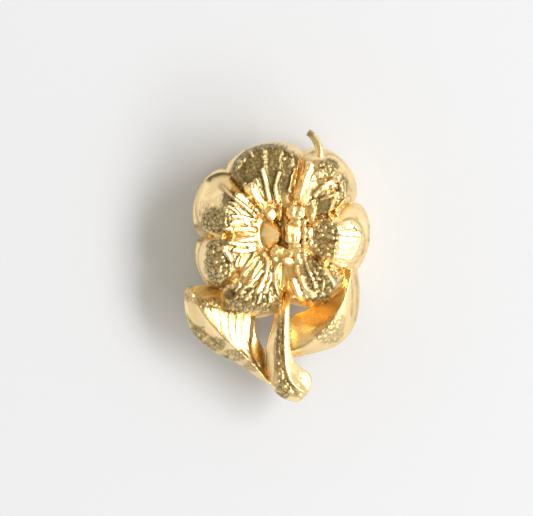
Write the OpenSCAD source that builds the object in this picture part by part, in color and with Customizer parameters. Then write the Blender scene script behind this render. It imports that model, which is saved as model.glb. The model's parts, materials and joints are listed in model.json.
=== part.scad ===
// A flower bead: one solid casting of a seven-petalled blossom on a short stem with two leaves.
// The blossom has a relief front, a plain back and a parting groove between them. The thread
// hole is drilled from side to side through its middle, so the bead hangs with the stem down.
// Frame: millimetres, origin on the axis of the thread hole at the middle of the blossom,
// +X along the hole, +Y from the stem to the blossom, +Z out of the relief front.

/* [Blossom] */
// Reach of a middling petal from the middle of the blossom
petal_reach = 5.1; // [4.8:0.05:5.6]
// Height of a middling petal's crest above the axis of the thread hole
crest_height = 2.55; // [2.3:0.05:3]
// Depth of the plain back below the axis of the thread hole
back_depth = 2.35; // [2:0.05:2.8]
// How far each valley between two petals cuts in below their crests
valley_depth = 0.9; // [0.5:0.05:1.1]
// How deep the parting groove between front and back runs into the wall
groove_depth = 0.3; // [0.1:0.05:0.4]
// Height of the ribs on the petals
rib_height = 0.15; // [0.05:0.01:0.2]
// Number of ribs on each petal
ribs = 5; // [4:1:6]

/* [Thread hole] */
// Diameter of the thread hole
hole_d = 1.2; // [0.8:0.05:1.5]

/* [Leaves and stem] */
// Height of the veins on the left leaf
vein_height = 0.08; // [0.03:0.01:0.12]
// Number of veins on the left leaf
veins = 7; // [5:1:9]
// Diameter of the tendril at its root
tendril_d = 0.44; // [0.35:0.01:0.5]

/* [Hidden] */

// Petals, anticlockwise from the right-hand one. Angles are in degrees from +X.
VALLEY_IN = 0;  // angle of the valley before the petal, at the middle of the blossom
VALLEY_OUT = 1; // angle of the same valley at the rim
NOTCH = 2;      // reach of the rim in that valley, as a share of petal_reach
REACH = 3;      // reach of the rim at the petal's tip, as a share of petal_reach
TIP = 4;        // where the tip stands, from -1 at the first valley to 1 at the last
SHOULDER = 5;   // where the face turns over into the wall, as a share of the rim's reach
CREST = 6;      // height of the crest, as a share of crest_height
LEAN = 7;       // how much higher than the first side the last side stands, in mm
petals = [
    [-35, -27, 0.93, 1.02,  0.25, 0.80, 0.94, -0.15],
    [ 14,  25, 0.88, 1.10,  0.25, 0.88, 0.98,  0.15],
    [ 67,  74, 0.93, 1.05,  0.00, 0.95, 1.00,  0.05],
    [133, 131, 0.95, 1.07, -0.28, 0.70, 0.97, -0.05],
    [188, 182, 0.92, 1.04,  0.30, 0.84, 0.95,  0.00],
    [227, 222, 0.96, 1.01, -0.35, 0.92, 0.96,  0.00],
    [274, 273, 0.76, 0.94,  0.45, 0.93, 0.92,  0.00]
];

// Rings of the relief face from the middle to the shoulder
SHARE = 0; // share of the way from the middle to the shoulder
RISE = 1;  // share of the rise from the hollow to the crest
CUT = 2;   // share of valley_depth that the valleys have there
RIB = 3;   // share of rib_height that the ribs have there
face_rings = [
    [0.20, 0.00, 0.00, 0.0],
    [0.30, 0.06, 0.20, 0.7],
    [0.40, 0.27, 0.42, 1.0],
    [0.52, 0.55, 0.60, 1.0],
    [0.64, 0.78, 0.74, 0.9],
    [0.76, 0.93, 0.85, 0.4],
    [0.88, 1.00, 0.93, 0.1],
    [1.00, 1.00, 1.00, 0.0]
];

// Rings from the bottom of the parting groove across the back to its middle
OUT = 0;   // share of the rim's reach
DOWN = 1;  // share of back_depth below the axis of the thread hole
DEEP = 2;  // share of groove_depth that the ring lies inside the rim
back_rings = [
    [1.00, 0.00, 1.0],
    [1.00, 0.16, 0.0],
    [0.97, 0.44, 0.0],
    [0.89, 0.74, 0.0],
    [0.76, 0.93, 0.0],
    [0.56, 1.00, 0.0],
    [0.28, 0.96, 0.0]
];

hollow_height = 1.40;  // height of the hollow round the knobs
rim_height = 0.42;     // height of the front rim, where the petals are widest
wall_turns = [23, 45, 68, 90]; // how far the wall has turned over at each of its rings
front_inset = 0.12;    // how far the front rim lies inside the back rim
front_notch = 0.45;    // how much deeper than the back the front draws in at its valleys
valley_power = 5;      // a higher power makes a narrower valley
columns = 3 * ribs;    // columns of points on each petal
rib_power = 4;         // a higher power keeps the ribs high nearer to the valleys

// Knobs in the middle of the blossom: where each stands, its half widths and its top
knobs = [
    [-0.72, -0.04, 0.62, 0.80, 2.20],
    [ 0.66,  0.04, 0.46, 0.60, 2.15],
    [-0.66,  1.18, 0.38, 0.38, 1.95],
    [ 0.76,  1.22, 0.48, 0.46, 2.05],
    [ 0.30, -1.60, 0.36, 0.38, 1.95],
    [-0.94, -1.32, 0.32, 0.42, 1.85],
    [ 0.94, -1.10, 0.36, 0.36, 1.90],
    [ 1.34,  0.02, 0.18, 1.05, 1.75]
];

// Leaves and stem, a row for each section from the root to the tip: where the section's
// ridge, inner edge and outer edge stand, then the heights of the three and of the back.
// The inner edge of a leaf is the one by the blossom, that of the stem is on its right.
RIDGE = [0, 1];
INNER = [2, 3];
OUTER = [4, 5];
RIDGE_Z = 6;
INNER_Z = 7;
OUTER_Z = 8;
BACK_Z = 9;
left_leaf = [
    [-0.64, -8.72, -0.64, -8.45, -0.64, -8.84, 0.70, 0.10, 0.45, -0.70],
    [-1.10, -8.20, -0.80, -7.60, -1.35, -8.40, 0.95, 0.10, 0.45, -0.80],
    [-2.00, -7.30, -0.95, -6.85, -2.50, -7.60, 1.15, 0.10, 0.40, -0.90],
    [-3.15, -6.20, -1.42, -5.90, -3.80, -6.92, 1.30, 0.25, 0.30, -0.90],
    [-4.05, -5.20, -1.55, -4.70, -4.90, -6.10, 1.35, 0.05, 0.25, -0.85],
    [-4.70, -4.30, -2.60, -3.80, -5.45, -5.10, 1.20, 0.00, 0.25, -0.75],
    [-5.15, -3.70, -4.00, -3.10, -5.62, -4.10, 0.95, 0.20, 0.35, -0.55],
    [-5.40, -3.15, -5.15, -3.05, -5.58, -3.25, 0.80, 0.50, 0.50, -0.10]
];
right_leaf = [
    [ 0.60, -6.85,  0.40, -6.60,  0.60, -7.30, 0.90, 0.60, 0.30, -0.80],
    [ 1.30, -6.50,  0.42, -5.25,  1.40, -7.12, 1.10, 0.30, 0.20, -0.90],
    [ 2.05, -5.95,  0.70, -4.75,  2.50, -6.85, 1.25, 0.10, 0.15, -0.90],
    [ 2.75, -5.20,  1.60, -4.35,  3.47, -6.42, 1.40, 0.00, 0.15, -0.90],
    [ 3.30, -4.40,  2.40, -3.70,  4.16, -5.62, 1.50, 0.10, 0.20, -0.90],
    [ 3.66, -3.70,  2.86, -3.06,  4.50, -4.60, 1.50, 0.60, 0.30, -0.85],
    [ 3.90, -2.90,  3.34, -2.56,  4.58, -3.30, 1.40, 1.00, 0.50, -0.70],
    [ 4.08, -2.10,  3.80, -2.00,  4.42, -2.00, 1.10, 0.90, 0.50, -0.30]
];
stem = [
    [ 0.29, -3.31,  0.64, -3.31, -0.41, -3.31, 0.75, 0.60, 0.45, -0.60],
    [ 0.20, -4.36,  0.52, -4.36, -0.35, -4.36, 1.20, 1.05, 0.70, -0.85],
    [ 0.16, -5.35,  0.50, -5.35, -0.52, -5.35, 1.30, 1.13, 0.72, -0.90],
    [ 0.16, -6.51,  0.54, -6.51, -0.85, -6.51, 1.30, 1.10, 0.70, -0.90],
    [ 0.20, -7.38,  0.81, -7.33, -0.87, -7.38, 1.25, 0.90, 0.70, -0.90],
    [ 0.30, -7.97,  1.22, -7.85, -0.81, -8.20, 1.20, 0.65, 0.65, -0.90],
    [ 0.52, -8.50,  1.62, -8.12, -0.58, -8.92, 1.15, 0.55, 0.60, -0.90],
    [ 0.87, -8.95,  1.80, -8.48,  0.00, -9.54, 1.05, 0.50, 0.55, -0.85],
    [ 1.28, -9.22,  1.76, -8.88,  0.80, -9.82, 0.90, 0.45, 0.45, -0.75],
    [ 1.46, -9.40,  1.63, -9.19,  1.22, -9.68, 0.65, 0.40, 0.40, -0.50]
];
edge_drop = 0.4;        // how far the wall of a section falls straight down at its edge
inner_lanes = [0.92, 0.72, 0.48, 0.24]; // lanes of points from the inner edge to the ridge
outer_lanes = [0.20, 0.45, 0.72, 0.94]; // lanes of points from the ridge to the outer edge
leaf_steps = 22;
stem_steps = 26;
vein_slant = 0.3;       // how far towards the tip a vein runs, as a share of the leaf

// Tendril, from its root on the upper right petal to its end: where it stands and how much
// of tendril_d it has there
tendril = [
    [2.00, 3.70, 1.70, 1.40],
    [2.22, 4.30, 1.95, 1.25],
    [2.20, 4.85, 1.95, 1.10],
    [1.98, 5.35, 1.85, 1.00],
    [1.72, 5.68, 1.75, 0.95],
    [1.54, 5.80, 1.70, 0.95]
];
tendril_steps = 12;
tendril_sides = 8;

// A smooth curve through four values, from the second to the third
function curve(a, b, c, d, t) =
    b + t * ((c - a) + t * ((2 * a - 5 * b + 4 * c - d) + t * (3 * b - a - 3 * c + d))) / 2;

// A smooth curve through the rows of a table, at a share u of its length
function along(rows, u) =
    let (last = len(rows) - 1,
         place = min(max(u, 0), 0.99999) * last,
         i = floor(place))
    curve(rows[max(i - 1, 0)], rows[i], rows[i + 1], rows[min(i + 2, last)], place - i);

// The faces of a tube of rings, each of n points, closed at both ends
function tube_faces(rings, n) = concat(
    [for (r = [0 : rings - 2], c = [0 : n - 1], half = [0, 1])
        let (a = r * n + c, b = r * n + (c + 1) % n)
        half == 0 ? [a, b, a + n] : [b, b + n, a + n]],
    [[for (c = [n - 1 : -1 : 0]) c]],
    [[for (c = [0 : n - 1]) (rings - 1) * n + c]]);

module tube(rings) {
    polyhedron([for (ring = rings, point = ring) point],
               tube_faces(len(rings), len(rings[0])), convexity = 8);
}

function mix(a, b, t) = a + (b - a) * t;
function next_petal(i) = (i + 1) % len(petals);
function last_petal(i) = (i + len(petals) - 1) % len(petals);

// A petal's value of one column at a place s between its valleys. It is drawn towards the
// neighbour's value near the valley, so that the two meet there
function petal_value(i, s, column) =
    let (neighbour = s < 0 ? last_petal(i) : next_petal(i))
    mix(petals[i][column], petals[neighbour][column], pow(abs(s), 6) / 2);

function valley_angle(i, column) = petals[i % len(petals)][column] + (i < len(petals) ? 0 : 360);
function direction(i, s, out) =
    let (first = mix(valley_angle(i, VALLEY_IN), valley_angle(i, VALLEY_OUT), out),
         last = mix(valley_angle(i + 1, VALLEY_IN), valley_angle(i + 1, VALLEY_OUT), out))
    mix(first, last, (s + 1) / 2);

// Reach of the rim: a round lobe for each petal between the notches at its valleys
function rim(i, s, inset, extra_notch) =
    let (place = s - petals[i][TIP] * (1 - s * s),
         lobe = pow(1 - pow(abs(place), 2.4), 0.55),
         notch = petal_reach * mix(petals[i][NOTCH], petals[next_petal(i)][NOTCH], (s + 1) / 2)
                 - extra_notch)
    mix(notch, petal_reach * petals[i][REACH], lobe) - inset;

function rib_wave(s) = -cos(180 * (s + 1) * ribs) * (1 - pow(abs(s), rib_power)) / 2;
function face_height(i, s, ring) =
    mix(hollow_height, crest_height * petal_value(i, s, CREST), ring[RISE])
    + petals[i][LEAN] * s * (1 - s * s) * ring[RISE]
    - valley_depth * ring[CUT] * pow(abs(s), valley_power)
    + rib_height * ring[RIB] * rib_wave(s);

// Places between the valleys of a petal at which its columns of points stand
places = [for (c = [0 : columns - 1]) 2 * c / columns - 1];
function rim_point(i, s, out, reach, height) =
    [reach * cos(direction(i, s, out)), reach * sin(direction(i, s, out)), height];

function face_ring(ring) = [
    for (i = [0 : len(petals) - 1], s = places)
        let (out = petal_value(i, s, SHOULDER) * ring[SHARE])
        rim_point(i, s, out, rim(i, s, front_inset, front_notch) * out,
                  face_height(i, s, ring))];

function wall_ring(turn) = [
    for (i = [0 : len(petals) - 1], s = places)
        let (out = mix(petal_value(i, s, SHOULDER), 1, sin(turn)),
             top = face_height(i, s, face_rings[len(face_rings) - 1]))
        rim_point(i, s, out, rim(i, s, front_inset, front_notch) * out,
                  mix(rim_height, top, cos(turn)))];

function back_ring(ring) = [
    for (i = [0 : len(petals) - 1], s = places)
        rim_point(i, s, ring[OUT], rim(i, s, 0, 0) * ring[OUT] - groove_depth * ring[DEEP],
                  -back_depth * ring[DOWN]
                  + valley_depth / 3 * sin(150 * ring[DOWN]) * pow(abs(s), valley_power))];

module blossom() {
    tube(concat([for (ring = face_rings) face_ring(ring)],
                [for (turn = wall_turns) wall_ring(turn)],
                [for (ring = back_rings) back_ring(ring)]));
}

module knob_cluster() {
    for (knob = knobs)
        translate([knob[0], knob[1], hollow_height])
            scale([knob[2], knob[3], knob[4] - hollow_height])
                sphere(r = 1, $fn = 20);
}

// A section at a share u of the length: inner edge, ridge, outer edge, then the back
function section(rows, u, vein_h) =
    let (row = along(rows, u),
         ridge = [row[RIDGE[0]], row[RIDGE[1]]],
         inner = [row[INNER[0]], row[INNER[1]]],
         outer = [row[OUTER[0]], row[OUTER[1]]],
         point = function (place, z) [place[0], place[1], z],
         bow = (row[RIDGE_Z] - row[BACK_Z]) / 8,
         vein = function (k)
             vein_h * cos(360 * veins * (u - vein_slant * k)) * 4 * (k - k * k))
    concat(
        [point(inner, row[INNER_Z] - edge_drop)],
        [for (k = inner_lanes)
            point(mix(ridge, inner, k), mix(row[RIDGE_Z], row[INNER_Z], k) + vein(k))],
        [point(ridge, row[RIDGE_Z])],
        [for (k = outer_lanes)
            point(mix(ridge, outer, k), mix(row[RIDGE_Z], row[OUTER_Z], k * k))],
        [point(outer, row[OUTER_Z] - edge_drop),
         point(mix(ridge, outer, 0.5), row[BACK_Z] + bow),
         point(ridge, row[BACK_Z]),
         point(mix(ridge, inner, 0.5), row[BACK_Z] + bow)]);

function reverse(list) = [for (k = [len(list) - 1 : -1 : 0]) list[k]];

// A leaf or the stem. inner_on_right is true where the inner edge is on the right-hand side
// on the way from the root to the tip
module sprig(rows, steps, vein_h, inner_on_right) {
    sections = [for (k = [0 : steps]) section(rows, k / steps, vein_h)];
    tube(inner_on_right ? sections : [for (points = sections) reverse(points)]);
}

module left_leaf() {
    sprig(left_leaf, leaf_steps, vein_height, true);
}

module right_leaf() {
    sprig(right_leaf, leaf_steps, 0, false);
}

module stem() {
    sprig(stem, stem_steps, 0, false);
}

module tendril() {
    tube([for (k = [0 : tendril_steps])
        let (u = k / tendril_steps,
             row = along(tendril, u),
             ahead = along(tendril, u + 0.01) - along(tendril, u - 0.01),
             side = [ahead[1], -ahead[0], 0] / norm([ahead[0], ahead[1]]),
             r = row[3] * tendril_d / 2)
        [for (a = [0 : 360 / tendril_sides : 359])
            [row[0], row[1], row[2]] + r * (side * cos(a) + [0, 0, sin(a)])]]);
}

module thread_hole() {
    length = 4 * petal_reach;
    translate([-length / 2, 0, 0])
        rotate([0, 90, 0])
            cylinder(d = hole_d, h = length, $fn = 48);
}

module flower_bead() {
    color([0.87, 0.68, 0.32])
    difference() {
        // resize with no new size keeps the casting as it is, in one mesh
        resize([0, 0, 0])
            union() {
                blossom();
                knob_cluster();
                left_leaf();
                right_leaf();
                stem();
                tendril();
            }
        thread_hole();
    }
}

flower_bead();
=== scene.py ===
"""Flower bead: the visual model of a small gold-plated casting, on white paper.

Each form of the casting is modelled in wax first, in millimetres: the blossom, its seeds,
the two leaves, the stem and the tendril. The forms are then fused, grained, drilled for the
thread and plated as one piece, which stands for the solid of the frame.
"""

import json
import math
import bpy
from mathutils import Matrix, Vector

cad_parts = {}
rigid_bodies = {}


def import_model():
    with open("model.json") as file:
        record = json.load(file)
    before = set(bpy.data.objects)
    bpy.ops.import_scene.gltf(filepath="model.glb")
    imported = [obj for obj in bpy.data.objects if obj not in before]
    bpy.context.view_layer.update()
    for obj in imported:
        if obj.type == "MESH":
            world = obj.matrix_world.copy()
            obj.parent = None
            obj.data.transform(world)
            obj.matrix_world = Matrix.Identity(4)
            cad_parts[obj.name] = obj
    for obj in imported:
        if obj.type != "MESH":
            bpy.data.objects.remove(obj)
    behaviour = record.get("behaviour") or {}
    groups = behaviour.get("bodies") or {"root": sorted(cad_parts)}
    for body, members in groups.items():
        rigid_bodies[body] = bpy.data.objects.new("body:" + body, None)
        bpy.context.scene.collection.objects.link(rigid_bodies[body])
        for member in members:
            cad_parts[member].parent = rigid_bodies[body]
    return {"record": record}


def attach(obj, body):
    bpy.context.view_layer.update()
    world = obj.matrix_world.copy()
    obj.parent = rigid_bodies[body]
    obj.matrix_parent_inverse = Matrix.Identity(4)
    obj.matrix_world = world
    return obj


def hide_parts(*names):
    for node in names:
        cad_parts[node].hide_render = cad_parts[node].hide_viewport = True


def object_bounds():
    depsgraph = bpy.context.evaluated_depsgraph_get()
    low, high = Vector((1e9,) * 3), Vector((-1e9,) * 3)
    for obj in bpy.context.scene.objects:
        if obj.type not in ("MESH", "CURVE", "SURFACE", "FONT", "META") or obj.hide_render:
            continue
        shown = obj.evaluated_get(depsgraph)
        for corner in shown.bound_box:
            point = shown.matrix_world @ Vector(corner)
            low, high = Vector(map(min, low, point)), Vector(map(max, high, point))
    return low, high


bl_info = {
    "name": "Flower bead",
    "version": (1, 0, 0),
    "blender": (4, 5, 0),
    "location": "View3D > Sidebar > Flower bead",
    "description": "Models a cast flower bead in wax, casts and plates it, and lays it on paper",
    "category": "Object",
}

from collections import namedtuple
from types import SimpleNamespace

import bpy
import numpy as np
from mathutils import Matrix, Vector

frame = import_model()
CAD_BOX = [list(corner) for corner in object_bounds()]
THREAD_HOLE = frame["record"]["mounts"][0]["dims"]
MM = 0.001


# The forms in tables, in mm and degrees. The frame's origin is in the middle of the blossom.

# Petals, anticlockwise from the right-hand one. valley_in and valley_out are the angles of the
# valley before the petal, at the middle of the blossom and at the rim. notch and reach are the
# rim's reach in that valley and at the petal's tip, as shares of the petal reach. tip is where
# the tip stands, from -1 at the first valley to 1 at the last, and shoulder is the share of the
# rim's reach at which the face turns over into the wall. h20 to h95 are the heights of the
# petal's middle at shares 0.20 to 0.95 of its reach, and lean is how much higher the last side
# stands. first_edge and last_edge say how sharply the two sides drop into their valleys, and
# first_fall and last_fall how much the petal's outer part falls away there.
Petal = namedtuple("Petal", "valley_in valley_out notch reach tip shoulder "
                            "h20 h35 h50 h65 h80 h95 "
                            "lean first_edge last_edge first_fall last_fall")
PETALS = [Petal(*row) for row in (
    (-38, -32, 0.93, 1.02,  0.25, 0.91, 1.60, 1.98, 2.24, 2.34, 2.02, 1.66, -0.05, 12.0, 2.4, 0.0, 0.1),
    ( 15,  23, 0.88, 1.10,  0.25, 0.88, 1.58, 1.92, 2.14, 2.32, 2.36, 2.16,  0.25, 9.0, 9.0, 0.2, 0.0),
    ( 67,  74, 0.93, 1.05,  0.00, 0.94, 1.58, 1.90, 2.15, 2.42, 2.47, 2.44,  0.00, 4.0, 9.0, 0.2, 0.0),
    (133, 131, 0.95, 1.07, -0.28, 0.96, 1.58, 1.95, 2.24, 2.46, 2.42, 2.20,  0.00, 7.0, 4.0, 2.0, 0.0),
    (188, 182, 0.92, 1.04,  0.30, 0.85, 1.58, 1.95, 2.24, 2.44, 2.48, 2.46,  0.00, 8.0, 6.0, 0.0, 0.0),
    (227, 222, 0.96, 1.05, -0.35, 0.87, 1.58, 1.93, 2.16, 2.34, 2.42, 2.40,  0.00, 7.0, 6.0, 0.2, 0.1),
    (274, 273, 0.76, 0.94,  0.45, 0.93, 1.58, 1.90, 2.14, 2.30, 2.36, 2.30,  0.00, 8.0, 6.0, 0.0, 0.0),
)]

# Strokes on the petals, each a curve through three places, with its width and height: the ribs,
# raised, and a line between them, cut, where the height is negative.
Stroke = namedtuple("Stroke", "from_x from_y by_x by_y to_x to_y width height")
STROKES = [Stroke(*row) for row in (
    # top petal
    (-1.05,  3.55, -0.81,  2.67, -0.64,  1.86, 0.35,  0.150),
    (-0.06,  3.43, -0.29,  2.67, -0.17,  1.74, 0.29,  0.160),
    ( 0.81,  3.55,  0.64,  2.97,  0.52,  2.44, 0.29,  0.150),
    ( 1.16,  4.07,  0.99,  3.08,  0.86,  2.15, 0.40,  0.120),
    (-1.69,  2.67, -1.34,  2.09, -0.93,  1.40, 0.58,  0.120),
    (-2.09,  2.73, -1.98,  2.44, -1.80,  2.09, 0.29,  0.100),
    (-0.99,  5.00, -0.93,  4.24, -0.93,  3.60, 0.32,  0.050),
    (-1.86,  4.83, -1.80,  4.59, -1.69,  4.42, 0.23,  0.050),
    (-2.44,  3.78, -2.33,  3.95, -2.15,  4.19, 0.23,  0.050),
    (-0.52,  4.94, -0.35,  5.06, -0.17,  5.00, 0.23,  0.050),
    (-1.57,  3.02, -1.40,  2.97, -1.28,  2.73, 0.23,  0.070),
    ( 0.41,  4.83,  0.58,  4.71,  0.76,  4.53, 0.52,  0.060),
    # upper right petal
    ( 1.60,  3.90,  1.57,  3.43,  1.51,  2.97, 0.52,  0.110),
    ( 1.66,  3.31,  1.48,  2.62,  1.31,  1.92, 0.81,  0.120),
    ( 1.86,  3.08,  2.06,  3.28,  2.30,  3.46, 0.47,  0.100),
    ( 1.98,  2.15,  2.50,  2.67,  3.31,  3.14, 0.35,  0.160),
    ( 2.33,  1.92,  2.79,  2.09,  3.26,  2.27, 0.23,  0.130),
    ( 2.67,  2.50,  2.91,  2.67,  3.14,  2.73, 0.21,  0.100),
    ( 2.62,  2.85,  2.91,  3.08,  3.20,  3.37, 0.17,  0.080),
    ( 3.20,  1.16,  3.49,  1.57,  3.84,  1.92, 0.37,  0.170),
    ( 2.79,  1.16,  2.91,  1.45,  3.08,  1.80, 0.26,  0.120),
    ( 1.80,  1.80,  1.86,  1.57,  1.92,  1.34, 0.23,  0.060),
    ( 2.79,  4.36,  3.02,  4.30,  3.26,  4.13, 0.29,  0.080),
    ( 3.37,  4.01,  3.55,  3.84,  3.66,  3.66, 0.29,  0.060),
    ( 3.78,  3.60,  4.01,  3.14,  4.07,  2.62, 0.27,  0.070),
    # right petal
    ( 3.60,  0.41,  4.01,  0.64,  4.48,  0.23, 0.32,  0.100),
    ( 3.35,  0.28,  3.90,  0.45,  4.55,  0.20, 0.36,  0.060),
    ( 3.30,  0.00,  3.95,  0.02,  4.62, -0.10, 0.30,  0.035),
    ( 3.25, -0.32,  3.90, -0.38,  4.60, -0.42, 0.38,  0.055),
    ( 3.20, -0.66,  3.85, -0.80,  4.52, -0.76, 0.34,  0.035),
    ( 3.15, -1.02,  3.75, -1.20,  4.40, -1.12, 0.40,  0.055),
    ( 3.12, -1.40,  3.60, -1.58,  4.15, -1.50, 0.36,  0.045),
    ( 2.91, -1.92,  3.08, -2.03,  3.31, -2.27, 0.23,  0.100),
    ( 2.03,  0.23,  2.50,  0.09,  3.02,  0.23, 0.20,  0.070),
    ( 2.09, -0.23,  2.56, -0.12,  3.08, -0.35, 0.19,  0.070),
    ( 1.92, -0.76,  2.38, -0.55,  2.91, -0.81, 0.19,  0.060),
    ( 2.21, -1.22,  2.62, -0.99,  3.02, -1.16, 0.19,  0.060),
    # lower right petal
    ( 0.87, -1.98,  0.93, -2.21,  1.05, -2.50, 0.26,  0.080),
    ( 1.74, -1.45,  2.21, -1.98,  2.79, -2.79, 0.17,  0.060),
    ( 2.50, -2.09,  2.79, -2.50,  3.08, -2.97, 0.29,  0.120),
    ( 2.95, -3.52,  3.25, -3.30,  3.55, -3.05, 0.50,  0.120),
    ( 0.76, -2.79,  0.93, -3.31,  1.16, -3.78, 0.47,  0.140),
    ( 1.16, -2.56,  1.40, -3.14,  1.80, -3.60, 0.38,  0.150),
    ( 1.34, -3.37,  1.40, -3.55,  1.45, -3.78, 0.23,  0.100),
    ( 1.34, -1.51,  1.63, -2.27,  1.98, -3.08, 0.20,  0.090),
    ( 1.63, -1.69,  1.92, -2.27,  2.21, -2.73, 0.17,  0.060),
    # lower left petal
    (-1.16, -1.69, -1.45, -2.27, -1.80, -2.91, 0.29,  0.070),
    (-0.06, -1.80, -0.35, -2.50,  0.00, -3.66, 0.29,  0.150),
    (-0.58, -2.33, -0.70, -2.91, -0.93, -3.43, 0.29,  0.140),
    (-0.93, -1.22, -0.76, -2.15, -1.34, -3.37, 0.35,  0.150),
    (-1.10, -2.21, -1.51, -2.73, -2.03, -3.14, 0.29,  0.140),
    (-1.40, -1.22, -1.74, -1.74, -2.21, -2.33, 0.41,  0.170),
    (-1.98, -3.02, -2.15, -3.26, -2.33, -3.49, 0.17,  0.090),
    (-1.63, -3.31, -1.86, -3.55, -2.03, -3.84, 0.17,  0.090),
    (-1.10, -3.31, -1.22, -3.66, -1.34, -4.07, 0.17,  0.090),
    (-0.64, -3.43, -0.64, -3.78, -0.76, -4.19, 0.17,  0.090),
    (-2.38, -2.91, -2.50, -3.14, -2.62, -3.37, 0.17,  0.080),
    # the two left petals
    (-4.53,  1.69, -4.48,  1.40, -4.42,  0.99, 0.20,  0.030),
    (-4.24,  1.69, -4.19,  1.34, -4.13,  0.93, 0.20,  0.030),
    (-3.95,  1.80, -3.90,  1.51, -3.84,  1.16, 0.20,  0.030),
    (-3.66,  1.92, -3.55,  1.63, -3.43,  1.34, 0.20,  0.030),
    (-3.37,  2.09, -3.26,  1.80, -3.08,  1.45, 0.19,  0.035),
    (-2.91, -0.58, -2.21, -0.70, -1.45, -0.64, 0.29,  0.130),
    (-2.67, -0.99, -2.03, -1.05, -1.45, -0.87, 0.32,  0.100),
    (-3.26, -1.05, -3.02, -1.28, -2.85, -1.57, 0.35,  0.120),
    (-2.38, -1.40, -2.50, -1.63, -2.56, -1.92, 0.23,  0.100),
    (-3.60, -0.93, -3.37, -0.87, -3.08, -0.81, 0.23,  0.080),
    (-3.43,  2.67, -3.02,  2.27, -2.62,  1.92, 0.23,  0.150),
    (-2.62,  1.92, -2.09,  1.51, -1.45,  0.93, 0.26,  0.170),
    (-3.02,  1.51, -2.73,  1.34, -2.44,  1.05, 0.23,  0.100),
    (-2.97,  1.74, -2.79,  1.69, -2.62,  1.57, 0.20,  0.080),
    (-2.73,  0.93, -2.09,  0.87, -1.51,  0.70, 0.23,  0.100),
    (-2.85,  0.47, -2.38,  0.64, -1.80,  0.52, 0.29,  0.100),
    (-2.62,  0.17, -2.03,  0.23, -1.45,  0.17, 0.32,  0.100),
    (-3.02,  0.17, -2.91,  0.17, -2.79,  0.12, 0.35,  0.100),
    ( 1.86,  0.70,  2.27,  1.05,  2.85,  0.70, 0.15, -0.100),
)]

# Lines chased into the fused casting: the veins and edges of the leaves, the folds of the stem,
# and some rims and valleys of the petals. Shade is painted along them, and the deepest one is
# painted dark all along, as shadow.
LINES = [Stroke(*row) for row in (
    (-4.88, -3.72, -4.24, -4.77, -3.43, -5.76, 0.15, -0.100),
    (-5.47, -3.72, -5.17, -3.90, -4.88, -4.13, 0.14, -0.080),
    (-3.08, -5.93, -2.33, -6.74, -1.45, -7.44, 0.10, -0.050),
    (-3.43, -5.76, -2.38, -6.69, -1.45, -7.56, 0.15, -0.100),
    (-1.45, -7.56, -1.05, -8.02, -0.76, -8.49, 0.12, -0.050),
    (-5.47, -4.83, -5.06, -5.29, -4.53, -5.70, 0.13, -0.060),
    (-4.53, -5.70, -4.01, -6.10, -3.43, -6.63, 0.12, -0.030),
    (-4.30, -4.65, -3.84, -4.30, -3.08, -4.53, 0.14, -0.050),
    (-3.66, -4.94, -3.43, -5.41, -3.08, -5.87, 0.10, -0.040),
    (-3.14, -4.77, -2.85, -5.29, -2.38, -5.99, 0.10, -0.040),
    (-2.56, -4.88, -2.27, -5.64, -2.03, -6.57, 0.10, -0.040),
    (-0.17, -4.94, -0.23, -6.51, -0.41, -8.78, 0.13, -0.060),
    ( 0.12, -4.94,  0.12, -6.51,  0.23, -8.08, 0.12, -0.060),
    ( 0.23, -8.08,  0.58, -8.90,  1.16, -9.53, 0.13, -0.070),
    ( 0.06, -6.51,  0.29, -6.63,  0.58, -6.45, 0.10, -0.050),
    ( 1.63, -8.08,  1.69, -8.37,  1.63, -8.66, 0.09, -0.050),
    (-0.29, -6.10, -0.12, -6.28,  0.12, -6.40, 0.12, -0.050),
    ( 0.12, -6.74, -0.06, -6.98, -0.29, -7.09, 0.12, -0.050),
    (-0.29, -7.62, -0.06, -7.73,  0.17, -7.97, 0.12, -0.050),
    ( 0.23, -8.43,  0.00, -8.55, -0.23, -8.49, 0.12, -0.050),
    (-0.06, -8.90,  0.23, -9.01,  0.41, -9.30, 0.12, -0.050),
    ( 0.64, -6.74,  1.40, -6.51,  2.21, -5.93, 0.13, -0.080),
    ( 2.21, -5.93,  2.79, -5.23,  3.49, -4.19, 0.13, -0.080),
    ( 3.49, -4.19,  3.72, -3.66,  3.84, -3.08, 0.10, -0.050),
    ( 4.30, -2.44,  4.42, -3.78,  4.30, -5.17, 0.09, -0.050),
    ( 4.07, -2.73,  4.13, -3.78,  4.07, -4.83, 0.08, -0.030),
    ( 4.36,  0.87,  4.83, -0.41,  4.42, -1.92, 0.10, -0.060),
    (-4.19,  3.08, -3.72,  3.37, -3.02,  3.43, 0.28, -0.280),
    (-3.43,  2.67, -2.91,  2.03, -2.21,  1.63, 0.14, -0.060),
    (-3.95, -4.65, -3.60, -5.29, -2.91, -6.22, 0.09, -0.050),
    (-3.37, -4.71, -3.08, -5.41, -2.56, -6.34, 0.09, -0.050),
    (-2.85, -4.77, -2.56, -5.52, -2.21, -6.45, 0.09, -0.050),
    (-2.27, -4.83, -2.09, -5.64, -1.86, -6.80, 0.09, -0.050),
    (-1.98, -4.94, -1.86, -5.64, -1.74, -6.45, 0.09, -0.040),
    (-4.65, -3.78, -4.30, -4.13, -3.90, -4.24, 0.12, -0.050),
    ( 3.49,  0.23,  4.07,  0.23,  4.65,  0.00, 0.14, -0.080),
    ( 1.10,  4.65,  1.45,  4.53,  1.92,  4.71, 0.12, -0.060),
)]

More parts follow.
